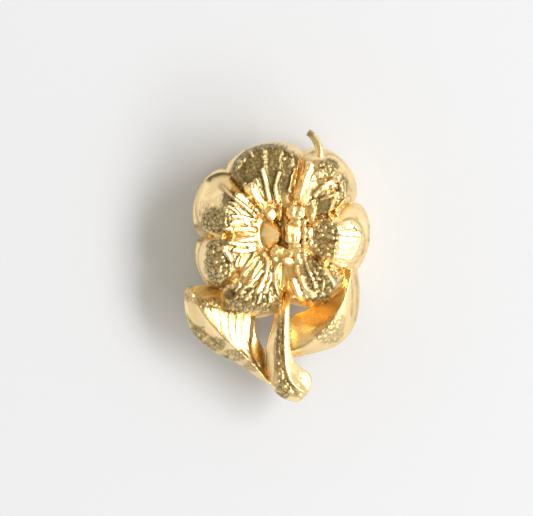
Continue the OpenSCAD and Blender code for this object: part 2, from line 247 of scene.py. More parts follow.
# Seeds in the middle: where each stands, its half widths, its top, its turn in degrees, how far
# its peak leans to the right and up as a share of the half widths, its dome, from 1 for a cone
# to 2 and more for a round one, and its rise above its foot.
Seed = namedtuple("Seed", "x y half_x half_y top turn lean_x lean_y dome rise")
SEEDS = [Seed(*row) for row in (
    (-0.76, -0.09, 0.78, 1.02, 2.51,   0,  0.90,  0.00, 1.00, 1.05),
    ( 0.69, -0.03, 0.49, 0.78, 2.37,   0, -0.80,  0.00, 1.10, 0.27),
    ( 0.38,  0.23, 0.17, 0.29, 2.39,   0, -0.30,  0.00, 2.00, 0.08),
    ( 0.40, -0.32, 0.19, 0.28, 2.38,   0, -0.30,  0.00, 2.00, 0.08),
    ( 0.69, -0.29, 0.20, 0.28, 2.32,   0, -0.40,  0.00, 2.00, 0.07),
    ( 0.87,  0.55, 0.32, 0.26, 2.25,   0, -0.50,  0.00, 1.20, 0.10),
    ( 0.78, -0.76, 0.38, 0.24, 2.24,   0, -0.50,  0.00, 1.20, 0.12),
    (-0.62,  1.10, 0.31, 0.42, 2.26,  20, -0.75,  0.10, 1.10, 0.20),
    (-0.09,  1.22, 0.21, 0.55, 2.10,   0,  0.30,  0.00, 1.80, 0.30),
    ( 0.81,  1.16, 0.57, 0.49, 2.35,   0, -0.75,  0.10, 1.10, 0.30),
    ( 0.67,  1.40, 0.16, 0.22, 2.36,   0, -0.30,  0.00, 2.00, 0.08),
    ( 1.02,  1.14, 0.21, 0.21, 2.27,   0, -0.30,  0.00, 2.00, 0.08),
    (-0.15, -1.10, 0.52, 0.35, 2.12,   0, -0.60,  0.20, 1.30, 0.18),
    ( 0.61, -1.10, 0.41, 0.29, 2.14,   0, -0.60,  0.20, 1.30, 0.16),
    ( 0.34, -1.60, 0.36, 0.28, 2.28,   0, -0.60,  0.20, 1.40, 0.24),
    ( 1.02, -1.51, 0.27, 0.51, 2.22,   8, -0.60,  0.00, 1.30, 0.16),
    ( 1.06, -1.02, 0.16, 0.16, 2.26,   0, -0.20,  0.00, 2.00, 0.14),
    (-0.35, -1.51, 0.22, 0.30, 2.06,   0, -0.50,  0.00, 1.30, 0.20),
    (-1.16,  1.10, 0.29, 0.47, 2.02,  20,  0.30,  0.00, 1.60, 0.50),
    (-0.96, -1.34, 0.27, 0.38, 2.12,  20, -0.30,  0.20, 1.80, 0.50),
    (-1.34, -1.80, 0.29, 0.41, 2.10,  15, -0.20,  0.00, 2.00, 0.50),
    (-1.76,  1.69, 0.20, 0.20, 2.26,   0, -0.20,  0.00, 2.00, 0.40),
    ( 1.33, -0.38, 0.16, 1.25, 2.24,  -1, -0.10,  0.00, 3.00, 0.50),
    ( 1.33,  0.61, 0.15, 0.19, 2.30,   0, -0.20,  0.00, 2.00, 0.10),
    ( 1.33,  0.20, 0.15, 0.27, 2.31,   0, -0.20,  0.00, 2.00, 0.10),
    ( 1.33, -0.23, 0.16, 0.16, 2.32,   0, -0.20,  0.00, 2.00, 0.10),
    ( 1.32, -0.58, 0.15, 0.16, 2.31,   0, -0.20,  0.00, 2.00, 0.10),
    ( 1.31, -0.93, 0.15, 0.16, 2.30,   0, -0.20,  0.00, 2.00, 0.10),
    ( 1.34, -1.31, 0.16, 0.20, 2.28,   0, -0.20,  0.00, 2.00, 0.10),
    ( 1.65,  0.00, 0.17, 0.37, 2.28,   0, -0.60,  0.00, 1.20, 0.13),
    ( 1.67, -0.70, 0.19, 0.35, 2.20,   0, -0.20,  0.00, 1.30, 0.12),
    ( 1.60, -1.19, 0.20, 0.20, 2.32,   0, -0.20,  0.00, 2.00, 0.30),
    ( 1.72,  1.16, 0.29, 0.64, 2.12,   0,  0.00,  0.00, 2.00, 0.12),
    ( 1.99,  0.47, 0.20, 0.20, 2.32,   0, -0.10,  0.00, 2.00, 0.30),
    ( 2.85, -0.76, 0.16, 0.16, 2.46,   0,  0.00,  0.00, 2.00, 0.40),
)]

# Smooth webs of gold that fill the bottoms of some valleys between the petals. They have the
# form of long low seeds.
WEBS = [Seed(*row) for row in (
    (-3.95, -0.20, 0.87, 0.44, 2.20,   0,  0.70,  0.00, 1.30, 0.85),
    (-2.91, -2.73, 0.87, 0.32, 2.15,  33,  0.60,  0.00, 1.30, 0.70),
    ( 2.79, -1.92, 0.99, 0.32, 2.15, -32, -0.50,  0.00, 1.30, 0.70),
    ( 0.30, -2.91, 0.41, 1.28, 2.18,   0, -0.70,  0.00, 1.40, 0.18),
)]

# Pits in the relief face: where each lies, its radius, its depth and the height of the ring
# round it.
PITS = [
    (-1.34,  1.40, 0.19, 0.01, 0.10),
    ( 0.63,  2.03, 0.19, 0.01, 0.10),
    ( 2.44,  0.64, 0.17, 0.12, 0.02),
    ( 2.33, -1.69, 0.22, 0.05, 0.02),
    (-2.62,  2.50, 0.20, 0.16, 0.02),
    (-2.92, -3.58, 0.34, 0.26, 0.00),
]

# Places where the wax was pressed over to one side: where each lies, its half widths, the
# slope added along x and y, and how far it sank.
PRESSED = [
    ( 1.57,  2.56, 0.64, 1.10, -0.12, -0.17, 0.05),
    ( 2.56,  2.62, 0.70, 0.47, -0.10, -0.14, 0.02),
    ( 0.41,  4.07, 0.41, 0.70,  0.26,  0.05, 0.00),
    ( 3.31, -1.86, 0.52, 0.35, -0.14, -0.30, -0.02),
]

# Hollows painted redder, for the glow of gold reflected in gold: where each lies, its half
# widths and how much. Past about 0.3 it is painted brown, as shade.
GLOW_HOLLOWS = [
    ( 0.32, -2.91, 0.47, 1.40, 0.19),
    ( 0.99,  3.31, 0.29, 1.16, 0.16),
    (-3.08,  3.08, 0.52, 0.52, 0.12),
    ( 2.50, -0.99, 0.52, 0.81, 0.14),
    ( 2.15, -1.69, 0.47, 0.35, 0.12),
    (-0.23, -1.10, 0.70, 0.47, 0.14),
    (-1.10,  0.64, 0.47, 0.35, 0.12),
    ( 1.10,  1.80, 0.47, 0.47, 0.12),
    (-1.10,  1.63, 0.58, 0.47, 0.10),
    ( 3.02, -1.98, 0.93, 0.47, 0.08),
    (-5.52, -1.69, 0.52, 1.74, 0.07),
    ( 1.74,  1.22, 0.52, 0.52, 0.16),
    ( 2.38, -1.28, 0.70, 0.47, 0.14),
    ( 0.41, -2.15, 0.58, 0.52, 0.19),
    (-2.94, -3.55, 0.41, 0.35, 0.46),
]

# Sandy patches, which polishing missed: where each lies, its half widths, how much dull film
# stays on it, and how tall its cobbles are. The film is partly painted shade: it darkens the
# faces that look up and stays in the gaps between the cobbles.
SAND = [
    ( 0.76,  1.16, 0.81, 0.64, 0.00, 0.22),
    ( 0.70, -0.12, 0.58, 0.93, 0.00, 0.16),
    ( 0.35, -1.34, 1.05, 0.52, 0.00, 0.35),
    ( 1.63, -0.12, 0.35, 1.51, 0.00, 0.30),
    (-0.87, -0.06, 0.70, 1.05, 0.00, 0.05),
    (-1.10,  4.04, 1.74, 1.05, 0.97, 0.34),
    ( 0.47,  4.24, 0.47, 0.52, 0.95, 0.30),
    (-2.03,  3.43, 0.87, 0.99, 1.00, 0.26),
    ( 0.41,  3.55, 0.64, 0.99, 0.95, 0.26),
    (-0.52,  4.36, 1.16, 0.81, 0.97, 0.34),
    (-0.23,  2.97, 1.05, 0.81, 0.90, 0.26),
    ( 2.73,  3.78, 0.58, 0.47, 0.95, 0.45),
    ( 3.49,  2.67, 0.35, 0.70, 0.95, 0.40),
    ( 2.27,  1.57, 0.81, 0.64, 0.72, 0.45),
    ( 2.38, -0.41, 0.70, 1.28, 0.75, 0.50),
    ( 3.02, -0.41, 0.35, 0.81, 0.90, 0.60),
    ( 2.21, -2.79, 1.05, 1.28, 1.00, 0.75),
    (-1.98, -3.78, 1.16, 0.76, 1.00, 0.80),
    (-0.76, -3.90, 0.87, 0.76, 0.90, 0.80),
    (-2.73, -4.24, 0.64, 0.52, 0.90, 0.70),
    (-3.55, -1.69, 0.81, 1.45, 1.00, 0.62),
    (-3.84, -0.93, 0.47, 0.52, 1.00, 0.50),
    (-3.90, -1.92, 0.35, 0.81, 1.00, 0.60),
    (-3.66,  0.73, 0.93, 0.76, 1.00, 0.85),
    (-2.97,  1.92, 0.41, 0.52, 1.00, 0.35),
    (-4.83, -5.81, 0.52, 0.47, 0.80, 0.60),
    (-3.95, -6.45, 0.76, 0.41, 0.80, 0.60),
    (-2.73, -7.09, 0.81, 0.35, 0.75, 0.60),
    (-1.57, -7.73, 0.70, 0.29, 0.60, 0.40),
    (-4.88, -4.94, 0.52, 1.05, 0.12, 0.06),
    (-3.78, -6.51, 0.70, 0.52, 0.15, 0.08),
    (-2.38, -7.44, 0.81, 0.41, 0.15, 0.08),
    (-4.07, -4.07, 0.64, 0.35, 0.70, 0.70),
    (-5.35, -3.49, 0.29, 0.47, 0.60, 0.80),
    (-4.36, -3.37, 0.70, 0.29, 0.50, 0.10),
    ( 2.73, -5.76, 0.87, 0.64, 0.55, 0.50),
    ( 3.20, -5.06, 0.47, 0.52, 0.50, 0.45),
    ( 2.62, -4.24, 0.81, 0.58, 0.35, 0.00),
    (-1.22, -7.15, 0.47, 0.70, 0.35, 0.00),
    (-0.06, -6.80, 0.21, 2.09, 0.80, 0.90),
    ( 0.17, -9.01, 0.52, 0.58, 0.85, 0.70),
    ( 1.28, -8.43, 0.41, 0.52, 0.10, 0.12),
    (-0.09,  1.22, 0.17, 0.52, 0.45, 0.20),
    ( 1.63, -1.74, 0.35, 0.35, 0.80, 0.30),
    (-0.06,  0.64, 0.26, 0.41, 0.90, 0.40),
    ( 0.00, -0.64, 0.41, 0.35, 0.90, 0.50),
    ( 1.63,  0.06, 0.23, 1.74, 0.50, 0.40),
    ( 1.57,  5.76, 0.29, 0.29, 0.60, 0.00),
    ( 1.80,  5.06, 0.17, 0.52, 0.40, 0.00),
]

# Nuggets, little beads of metal on the sandy patches: where each lies and its radius.
NUGGETS = [
    (-4.24, -6.69, 0.14), (-2.85, -7.15, 0.17), (-4.42, -6.10, 0.13), (-4.01, -6.34, 0.13),
    (-3.78, -6.92, 0.10), (-3.31, -6.92, 0.12), (-4.77, -5.87, 0.10), (-3.66, -6.51, 0.09),
    (-5.47, -3.37, 0.13), (-5.12, -3.55, 0.14), (-5.29, -3.84, 0.12), (-5.52, -3.72, 0.10),
    (-4.30, -4.07, 0.14), (-4.01, -4.36, 0.12), (-4.42, -4.36, 0.10), (-3.78, -4.13, 0.12),
    (-0.17, -8.55, 0.11), ( 0.17, -8.90, 0.13), ( 0.47, -9.19, 0.12), (-0.12, -9.13, 0.10),
    ( 2.38, -5.70, 0.09), ( 2.73, -5.47, 0.09), ( 3.08, -5.17, 0.09),
    ( 2.15, -6.05, 0.09), ( 2.56, -5.99, 0.09), ( 2.91, -5.81, 0.09), ( 3.26, -5.47, 0.09),
    ( 3.43, -4.94, 0.07), ( 2.79, -6.22, 0.07), ( 2.33, -6.28, 0.06), ( 0.58, -7.09, 0.08),
    ( 0.70, -7.44, 0.08), ( 0.87, -8.08, 0.10), ( 1.16, -8.43, 0.10), ( 1.05, -8.78, 0.10),
    (-2.03,  4.83, 0.12), (-1.74,  4.65, 0.12), (-2.38,  4.07, 0.13), (-2.50,  3.72, 0.12),
    (-1.10,  4.36, 0.10), ( 0.12,  4.24, 0.12), (-0.12,  5.06, 0.13), ( 0.76,  3.66, 0.12),
    (-1.98,  2.50, 0.15), (-1.69,  2.67, 0.13), ( 2.15,  3.20, 0.13), ( 2.50,  2.91, 0.14),
    ( 2.85,  3.31, 0.12), ( 3.26,  3.02, 0.13), ( 2.38,  3.55, 0.12), ( 2.91,  2.62, 0.14),
    ( 3.49,  2.62, 0.12), ( 2.62,  2.27, 0.13), ( 3.26,  2.03, 0.13), ( 1.86,  0.29, 0.13),
    ( 2.15,  0.64, 0.12), ( 2.50,  0.29, 0.13), ( 2.85,  0.52, 0.12), ( 2.33, -0.17, 0.13),
    ( 2.73, -0.29, 0.13), ( 1.98, -0.47, 0.12), ( 2.44, -0.76, 0.14), ( 2.91,  0.06, 0.12),
    ( 2.09, -0.99, 0.13), ( 2.62, -1.22, 0.13), (-3.20,  0.23, 0.14), (-3.43,  0.64, 0.12),
    (-3.66,  0.29, 0.10), (-2.97,  0.87, 0.13), (-3.90,  0.64, 0.10), (-3.20,  1.22, 0.12),
    (-2.79, -0.17, 0.12), (-3.78, -1.69, 0.13), (-3.43, -1.40, 0.12), (-3.95, -1.10, 0.12),
    (-3.55, -2.15, 0.14), (-3.20, -1.86, 0.12), (-2.97, -2.44, 0.13), (-3.49, -2.79, 0.13),
    (-3.08, -3.02, 0.13), (-3.90, -2.21, 0.10), (-2.73, -2.91, 0.12), (-3.31, -0.87, 0.13),
    (-3.66, -0.70, 0.10), (-3.08, -3.90, 0.14), (-2.79, -4.30, 0.14), (-2.38, -4.07, 0.14),
    (-2.03, -4.42, 0.14), (-1.69, -4.07, 0.14), (-1.34, -4.53, 0.13), (-1.05, -4.13, 0.14),
    (-0.76, -4.48, 0.13), (-2.27, -3.66, 0.13), (-1.80, -3.66, 0.12), (-0.52, -4.01, 0.13),
    (-2.62, -3.72, 0.12), ( 2.15, -2.03, 0.12), ( 2.44, -2.38, 0.13), ( 2.03, -2.67, 0.12),
    ( 2.38, -3.02, 0.13), ( 2.67, -2.79, 0.12), ( 1.98, -3.37, 0.12), ( 1.74, -2.97, 0.10),
    ( 2.79, -3.31, 0.12), ( 1.63, -2.27, 0.10), ( 2.33, -3.49, 0.10),
    ( 3.37,  3.31, 0.14), ( 3.37,  2.73, 0.13), ( 3.49,  2.44, 0.14), ( 3.66,  2.15, 0.12),
    ( 2.91,  1.80, 0.14), ( 3.08,  2.03, 0.12), ( 1.28, -0.99, 0.12), ( 1.34, -1.45, 0.12),
    ( 1.86, -0.17, 0.13), ( 1.92, -0.76, 0.14), ( 2.27,  0.12, 0.12), ( 2.62, -0.87, 0.13),
    ( 2.97, -0.29, 0.13), ( 3.08, -0.76, 0.13), ( 3.02, -1.34, 0.13), ( 2.38, -1.45, 0.13),
]

# Leaves and stem, a row for each section from the root to the tip: where its ridge, inner
# edge and outer edge stand, then the heights of the three and of the back. The inner edge of
# a leaf is the one by the blossom, and that of the stem is on its right.
LEFT_LEAF = [
    (-0.64, -8.72, -0.64, -8.45, -0.64, -8.84, 0.70, 0.10, 0.45, -0.70),
    (-1.10, -8.20, -0.80, -7.60, -1.35, -8.40, 0.95, 0.10, 0.45, -0.80),
    (-2.00, -7.30, -0.95, -6.85, -2.50, -7.60, 1.05, 0.10, 0.40, -0.90),
    (-3.15, -6.20, -1.42, -5.90, -3.80, -6.92, 1.20, 0.45, 0.30, -0.90),
    (-4.05, -5.20, -1.55, -4.70, -4.90, -6.10, 1.40, 0.30, 0.35, -0.85),
    (-4.70, -4.30, -2.60, -3.80, -5.45, -5.10, 1.46, 0.55, 0.50, -0.75),
    (-5.15, -3.70, -4.00, -3.10, -5.62, -4.10, 1.25, 0.55, 0.60, -0.55),
    (-5.40, -3.15, -5.15, -3.05, -5.58, -3.25, 0.90, 0.60, 0.60, -0.10),
]
RIGHT_LEAF = [
    ( 0.60, -6.85,  0.40, -6.60,  0.60, -7.30, 0.90, 0.60, 0.30, -0.80),
    ( 1.30, -6.50,  0.42, -5.25,  1.40, -7.12, 1.10, 0.30, 0.20, -0.90),
    ( 2.05, -5.95,  0.70, -4.75,  2.50, -6.85, 1.25, 0.10, 0.15, -0.90),
    ( 2.75, -5.20,  1.60, -4.35,  3.47, -6.42, 1.40, 0.00, 0.15, -0.90),
    ( 3.30, -4.40,  2.40, -3.70,  4.16, -5.62, 1.50, 0.10, 0.20, -0.90),
    ( 3.66, -3.70,  2.86, -3.06,  4.50, -4.60, 1.50, 0.60, 0.30, -0.85),
    ( 3.90, -2.90,  3.34, -2.56,  4.58, -3.30, 1.40, 1.00, 0.50, -0.70),
    ( 4.08, -2.10,  3.80, -2.00,  4.42, -2.00, 1.10, 0.90, 0.50, -0.30),
]
STEM = [
    ( 0.29, -3.31,  0.64, -3.31, -0.41, -3.31, 0.75, 0.60, 0.45, -0.60),
    ( 0.20, -4.36,  0.52, -4.36, -0.35, -4.36, 1.20, 1.05, 0.70, -0.85),
    ( 0.16, -5.35,  0.50, -5.35, -0.52, -5.35, 1.30, 1.13, 0.72, -0.90),
    ( 0.16, -6.51,  0.54, -6.51, -0.85, -6.51, 1.30, 1.10, 0.70, -0.90),
    ( 0.20, -7.38,  0.81, -7.33, -0.87, -7.38, 1.25, 0.80, 0.62, -0.90),
    ( 0.30, -7.97,  1.22, -7.85, -0.81, -8.20, 1.20, 0.38, 0.58, -0.90),
    ( 0.52, -8.50,  1.62, -8.12, -0.58, -8.92, 1.15, 0.22, 0.55, -0.90),
    ( 0.87, -8.95,  1.80, -8.48,  0.00, -9.54, 1.05, 0.20, 0.52, -0.85),
    ( 1.28, -9.22,  1.76, -8.88,  0.80, -9.82, 0.90, 0.30, 0.45, -0.75),
    ( 1.46, -9.40,  1.63, -9.19,  1.22, -9.68, 0.65, 0.40, 0.40, -0.50),
]

# The tendril from its root to its tip: its place, its height and its thickness, as a multiple
# of the tendril's diameter.
TENDRIL = [
    (2.00, 3.70, 1.70, 1.40),
    (2.22, 4.30, 1.95, 1.25),
    (2.20, 4.85, 1.95, 1.10),
    (1.98, 5.35, 1.85, 1.00),
    (1.72, 5.68, 1.75, 0.95),
    (1.54, 5.80, 1.70, 0.95),
]

# The blossom's wall, from the shoulder of the face down to the rim: shares of the way out and
# of the way down.
WALL = [
    (0.00, 0.00),
    (0.45, 0.14),
    (0.88, 0.31),
    (0.97, 0.45),
    (1.00, 0.66),
    (1.00, 1.00),
]

# The blossom's back, from the parting groove to its middle: shares of the reach, of the back's
# depth and of the groove's depth.
BACK = [
    (1.00, 0.00, 1.0),
    (1.00, 0.16, 0.0),
    (0.97, 0.44, 0.0),
    (0.89, 0.74, 0.0),
    (0.76, 0.93, 0.0),
    (0.56, 1.00, 0.0),
    (0.28, 0.96, 0.0),
    (0.03, 0.95, 0.0),
]

# How deep the valleys are along the reach: shares of the reach, and of the valley depth there.
VALLEY_PLACES = (0.22, 0.45, 0.70, 1.00)
VALLEY_SHARES = (0.00, 0.40, 0.85, 1.00)


# Modelling helpers

def mix(a, b, t):
    """From a where t is 0 to b where t is 1."""
    return a + (b - a) * t


def ease(t):
    """0 to 1 with soft ends."""
    t = np.clip(t, 0.0, 1.0)
    return t * t * (3.0 - 2.0 * t)


def smooth_curve(a, b, c, d, t):
    """From b to c at shares t, on a smooth curve that comes from a and goes on to d."""
    return b + t * ((c - a) + t * ((2 * a - 5 * b + 4 * c - d) + t * (3 * b - a - 3 * c + d))) / 2


def along(rows, u):
    """A smooth curve through the rows of a table, at shares u of its length."""
    table = np.array(rows, dtype=float)
    last = len(table) - 1
    place = np.clip(np.asarray(u, dtype=float), 0.0, 0.99999) * last
    i = np.floor(place).astype(int)
    t = (place - i)[..., None]
    return smooth_curve(table[np.maximum(i - 1, 0)], table[i], table[i + 1],
                        table[np.minimum(i + 2, last)], t)


def spread(x, y, px, py, half_x, half_y):
    """0 at the middle of an oval spot and 1 at its rim, for points in the plane."""
    return np.hypot((x - px) / half_x, (y - py) / half_y)


def faded(far, end, soft):
    """1 well inside a spot and 0 beyond its end, with a soft band inside the end."""
    return ease((end - far) / soft)


def new_mesh(name, verts, faces):
    mesh = bpy.data.meshes.new(name)
    mesh.from_pydata(verts, [], faces)
    mesh.update()
    return mesh


def new_object(name, data):
    made = bpy.data.objects.new(name, data)
    bpy.context.scene.collection.objects.link(made)
    return made


def discard(piece):
    mesh = piece.data
    bpy.data.objects.remove(piece)
    bpy.data.meshes.remove(mesh)


def points(mesh):
    co = np.empty(len(mesh.vertices) * 3)
    mesh.vertices.foreach_get("co", co)
    return co.reshape(-1, 3)


def set_points(mesh, co):
    mesh.vertices.foreach_set("co", co.ravel())
    mesh.update()


def normals(mesh):
    no = np.empty(len(mesh.vertices) * 3, dtype=np.float32)
    mesh.vertex_normals.foreach_get("vector", no)
    return no.reshape(-1, 3).astype(float)


def store(mesh, name, value):
    """Keeps a value for each point with the mesh, where the material can read it."""
    layer = mesh.attributes.new(name, "FLOAT", "POINT")
    layer.data.foreach_set("value", value.astype(np.float32))


def neighbour_mean(mesh, values):
    """The mean of values over each point's neighbours."""
    edges = np.empty(len(mesh.edges) * 2, dtype=np.int32)
    mesh.edges.foreach_get("vertices", edges)
    edges = edges.reshape(-1, 2)
    columns = values.reshape(len(values), -1)
    total = np.zeros_like(columns)
    for here, there in ((0, 1), (1, 0)):
        for k in range(columns.shape[1]):
            total[:, k] += np.bincount(edges[:, here], weights=columns[edges[:, there], k],
                                       minlength=len(values))
    count = np.maximum(np.bincount(edges.ravel(), minlength=len(values)), 1)
    return (total / count[:, None]).reshape(values.shape)


def apply_modifiers(piece):
    """Puts the result of the piece's modifiers into its own mesh."""
    graph = bpy.context.evaluated_depsgraph_get()
    mesh = bpy.data.meshes.new_from_object(piece.evaluated_get(graph))
    old = piece.data
    piece.modifiers.clear()
    piece.data = mesh
    bpy.data.meshes.remove(old)


def in_mm(group):
    """The group's values by name, with its lengths in mm."""
    values = {}
    for name in group.__annotations__:
        is_length = group.bl_rna.properties[name].unit == "LENGTH"
        values[name] = getattr(group, name) / MM if is_length else getattr(group, name)
    return SimpleNamespace(**values)


# The rings of points that the wax forms are made of

WAX = "wax_"


def wax_tube(name, rings):
    """A closed wax form through rings of points, an array of rings by points by 3, in mm."""
    rings = np.asarray(rings, dtype=float)
    count, n = rings.shape[:2]
    ends = rings[[0, -1]].mean(axis=1)
    verts = np.concatenate([rings.reshape(-1, 3), ends])
    r, c = np.meshgrid(np.arange(count - 1), np.arange(n), indexing="ij")
    a, b = r * n + c, r * n + (c + 1) % n
    quads = np.stack([a, a + n, b + n, b], axis=-1).reshape(-1, 4).tolist()
    c = np.arange(n)
    first = np.stack([c, (c + 1) % n, np.full(n, count * n)], axis=-1).tolist()
    tail = (count - 1) * n
    last = np.stack([tail + (c + 1) % n, tail + c, np.full(n, count * n + 1)], axis=-1).tolist()
    return new_object(WAX + name, new_mesh(WAX + name, verts.tolist(), quads + first + last))


class Blossom:
    """Where each point of the blossom stands, from its petal i and its place s between the
    petal's valleys, -1 to 1."""

    FIRST_HEIGHT, HEIGHT_STEP = 0.20, 0.15     # where h20 to h95 are, as shares of the reach
    OUTER_PART = 0.66                          # where a falling outer part begins
    LEAN_FROM, LEAN_UNTIL = 0.22, 0.75         # where a petal leans
    BLEND_POWER = 6                            # how late a value turns to its neighbour's
    LOBE_POWER, LOBE_ROUND = 2.4, 0.55         # how full and how round a petal's outline is

    def __init__(self, sizes):
        self.sizes = sizes
        self.i = np.repeat(np.arange(len(PETALS)), sizes.columns)
        self.next = (self.i + 1) % len(PETALS)
        place = (np.arange(sizes.columns) * 2.0 / sizes.columns) - 1.0
        self.s = np.tile(place, len(PETALS))
        self.column = {name: np.array([getattr(petal, name) for petal in PETALS], dtype=float)
                       for name in Petal._fields}

    def own(self, name):
        return self.column[name][self.i]

    def value(self, name):
        """A petal's own value, drawn to its neighbour's near the valley."""
        own = self.own(name)
        step = np.where(self.s < 0, -1, 1)
        other = self.column[name][(self.i + step) % len(PETALS)]
        return own + (other - own) * np.abs(self.s) ** self.BLEND_POWER / 2

    def across(self, first, last):
        """From the first value at the first valley to the last one at the last valley."""
        return mix(first, last, (self.s + 1) / 2)

    def valley_angle(self, i, out):
        return mix(self.column["valley_in"][i], self.column["valley_out"][i], out)

    def angle(self, out):
        turn = np.where(self.i + 1 < len(PETALS), 0.0, 360.0)
        first = self.valley_angle(self.i, out)
        last = self.valley_angle(self.next, out) + turn
        return np.radians(self.across(first, last))

    def rim(self, inset, extra_notch):
        """Reach of the outline: a round lobe for each petal between the notches of its valleys."""
        reach = self.sizes.petal_reach
        place = self.s - self.own("tip") * (1 - self.s ** 2)
        lobe = np.maximum(1 - np.abs(place) ** self.LOBE_POWER, 0.0) ** self.LOBE_ROUND
        notch = self.across(self.own("notch"), self.column["notch"][self.next])
        return mix(reach * notch - extra_notch, reach * self.own("reach"), lobe) - inset

    def ring(self, out, reach, height):
        angle = self.angle(out)
        return np.stack([reach * np.cos(angle), reach * np.sin(angle), height], axis=-1)

    def middle_height(self, q):
        """Height of the petals' middles at shares q of their reach, one for each column."""
        heights = np.array([self.value(name) for name in Petal._fields
                            if name.startswith("h") and name[1:].isdigit()])
        last = len(heights) - 1
        column = np.arange(heights.shape[1])
        place = np.clip((q - self.FIRST_HEIGHT) / self.HEIGHT_STEP, 0, last - 0.0001)
        place = place + np.zeros(heights.shape[1])
        i = np.floor(place).astype(int)
        return smooth_curve(heights[np.maximum(i - 1, 0), column], heights[i, column],
                            heights[i + 1, column], heights[np.minimum(i + 2, last), column],
                            place - i)

    def face_height(self, q):
        """Height of the relief face at shares q of the rim's reach."""
        beyond = np.clip((q - self.OUTER_PART) / (1 - self.OUTER_PART), 0, 1)
        fall = self.across(self.value("first_fall"), self.value("last_fall"))
        height = self.middle_height(q) - fall * beyond
        edge = np.where(self.s < 0, self.own("first_edge"), self.own("last_edge"))
        cut = np.interp(q, VALLEY_PLACES, VALLEY_SHARES)
        height = height - self.sizes.valley_depth * cut * np.abs(self.s) ** edge
        leaning = ease((q - self.LEAN_FROM) / 0.2) * (1 - ease((q - self.LEAN_UNTIL) / 0.3))
        return height + self.own("lean") * self.s * leaning


BACK_SHALLOWER = 3       # how many times shallower the valleys are on the back
BACK_VALLEY_TURN = 150   # the valleys swell and fade across the back as the sine of this turn
FACE_START = 0.01        # share of the reach at which the face's first ring lies


def blossom_rings(sizes):
    """The blossom's rings: across the face, down the wall, and across the back."""
    b = Blossom(sizes)
    shoulder = b.value("shoulder")
    rim = b.rim(sizes.front_inset, sizes.front_notch)
    rings = []
    for q in np.linspace(FACE_START, 1.0, sizes.face_rings):
        out = shoulder * q
        rings.append(b.ring(out, rim * out, b.face_height(out)))
    top = b.face_height(shoulder)
    for out, down in along(WALL, np.linspace(0, 1, sizes.wall_rings + 1)[1:]):
        out = mix(shoulder, 1.0, min(out, 1.0))
        rings.append(b.ring(out, rim * out, mix(top, sizes.rim_height, down)))
    rim = b.rim(0.0, 0.0)
    valley = np.abs(b.s) ** sizes.valley_power * sizes.valley_depth / BACK_SHALLOWER
    for out, down, deep in along(BACK, np.linspace(0, 1, sizes.back_rings)):
        down = min(max(down, 0.0), 1.0)
        height = valley * math.sin(math.radians(BACK_VALLEY_TURN * down)) - sizes.back_depth * down
        groove = sizes.groove_depth * max(deep, 0.0)
        rings.append(b.ring(out, rim * min(out, 1.0) - groove, height))
    return rings


EDGE_DROP = 0.4              # how far a leaf's wall falls straight down at its edge, in mm
LANE_ENDS = (0.03, 0.97)     # the first and last lane between a ridge and an edge
BACK_LANES = (0.3, 0.55, 0.8)


def sprig_rings(rows, steps, inner, outer, inner_on_right):
    """Sections of a leaf or the stem. inner and outer give the height over a lane k, from 0
    at the ridge to 1 at the edge, from the heights at both and the share u of the length."""
    u = np.linspace(0, 1, steps)
    row = along(rows, u)
    ridge, near, far = row[:, 0:2], row[:, 2:4], row[:, 4:6]
    ridge_z, near_z, far_z, back_z = row[:, 6], row[:, 7], row[:, 8], row[:, 9]
    bow = (ridge_z - back_z) / 8
    lanes = [(near, near_z - EDGE_DROP)]
    for k in np.linspace(*LANE_ENDS[::-1], 34):
        lanes.append((mix(ridge, near, k), inner(k, u, ridge_z, near_z)))
    lanes.append((ridge, ridge_z))
    for k in np.linspace(*LANE_ENDS, 26):
        lanes.append((mix(ridge, far, k), outer(k, u, ridge_z, far_z)))
    lanes.append((far, far_z - EDGE_DROP))
    for k in BACK_LANES[::-1]:
        lanes.append((mix(ridge, far, k), back_z + bow * (k * 2) ** 2))
    lanes.append((ridge, back_z))
    for k in BACK_LANES:
        lanes.append((mix(ridge, near, k), back_z + bow * (k * 2) ** 2))
    rings = np.stack([np.column_stack(lane) for lane in lanes], axis=1)
    return rings if inner_on_right else rings[:, ::-1]


def tendril_rings(diameter):
    """Round sections along the tendril, square to its course."""
    u = np.linspace(0, 1, 60)
    row = along(TENDRIL, u)
    ahead = along(TENDRIL, u + 0.01) - along(TENDRIL, u - 0.01)
    side = np.column_stack([ahead[:, 1], -ahead[:, 0], np.zeros(len(u))])
    side /= np.linalg.norm(side, axis=1)[:, None]
    radius = row[:, 3] * diameter / 2
    up = np.array([0, 0, 1])
    lanes = [row[:, :3] + radius[:, None] * (side * math.cos(turn) + up * math.sin(turn))
             for turn in np.linspace(0, 2 * math.pi, 24, endpoint=False)]
    return np.stack(lanes, axis=1)


# The relief: how high the strokes and seeds stand

STROKE_MARGIN = 0.3          # how far past its width a stroke is worked out, in mm
RIB_POWER = 6                # a higher power makes a rib's top flatter and its sides steeper
LEAST_CREST = 0.3            # how low a leaning rib may get, as a share of its height
LEAN_TOWARDS = (0.94, -0.34)  # the side on which the ribs' tops slope down
CREASE_WIDTH = 0.10          # width of the painted shade in the crease beside a rib, in mm
DEEP_CREASE = 0.08           # height of a rib from which its crease is deep and its painted shade full, in mm
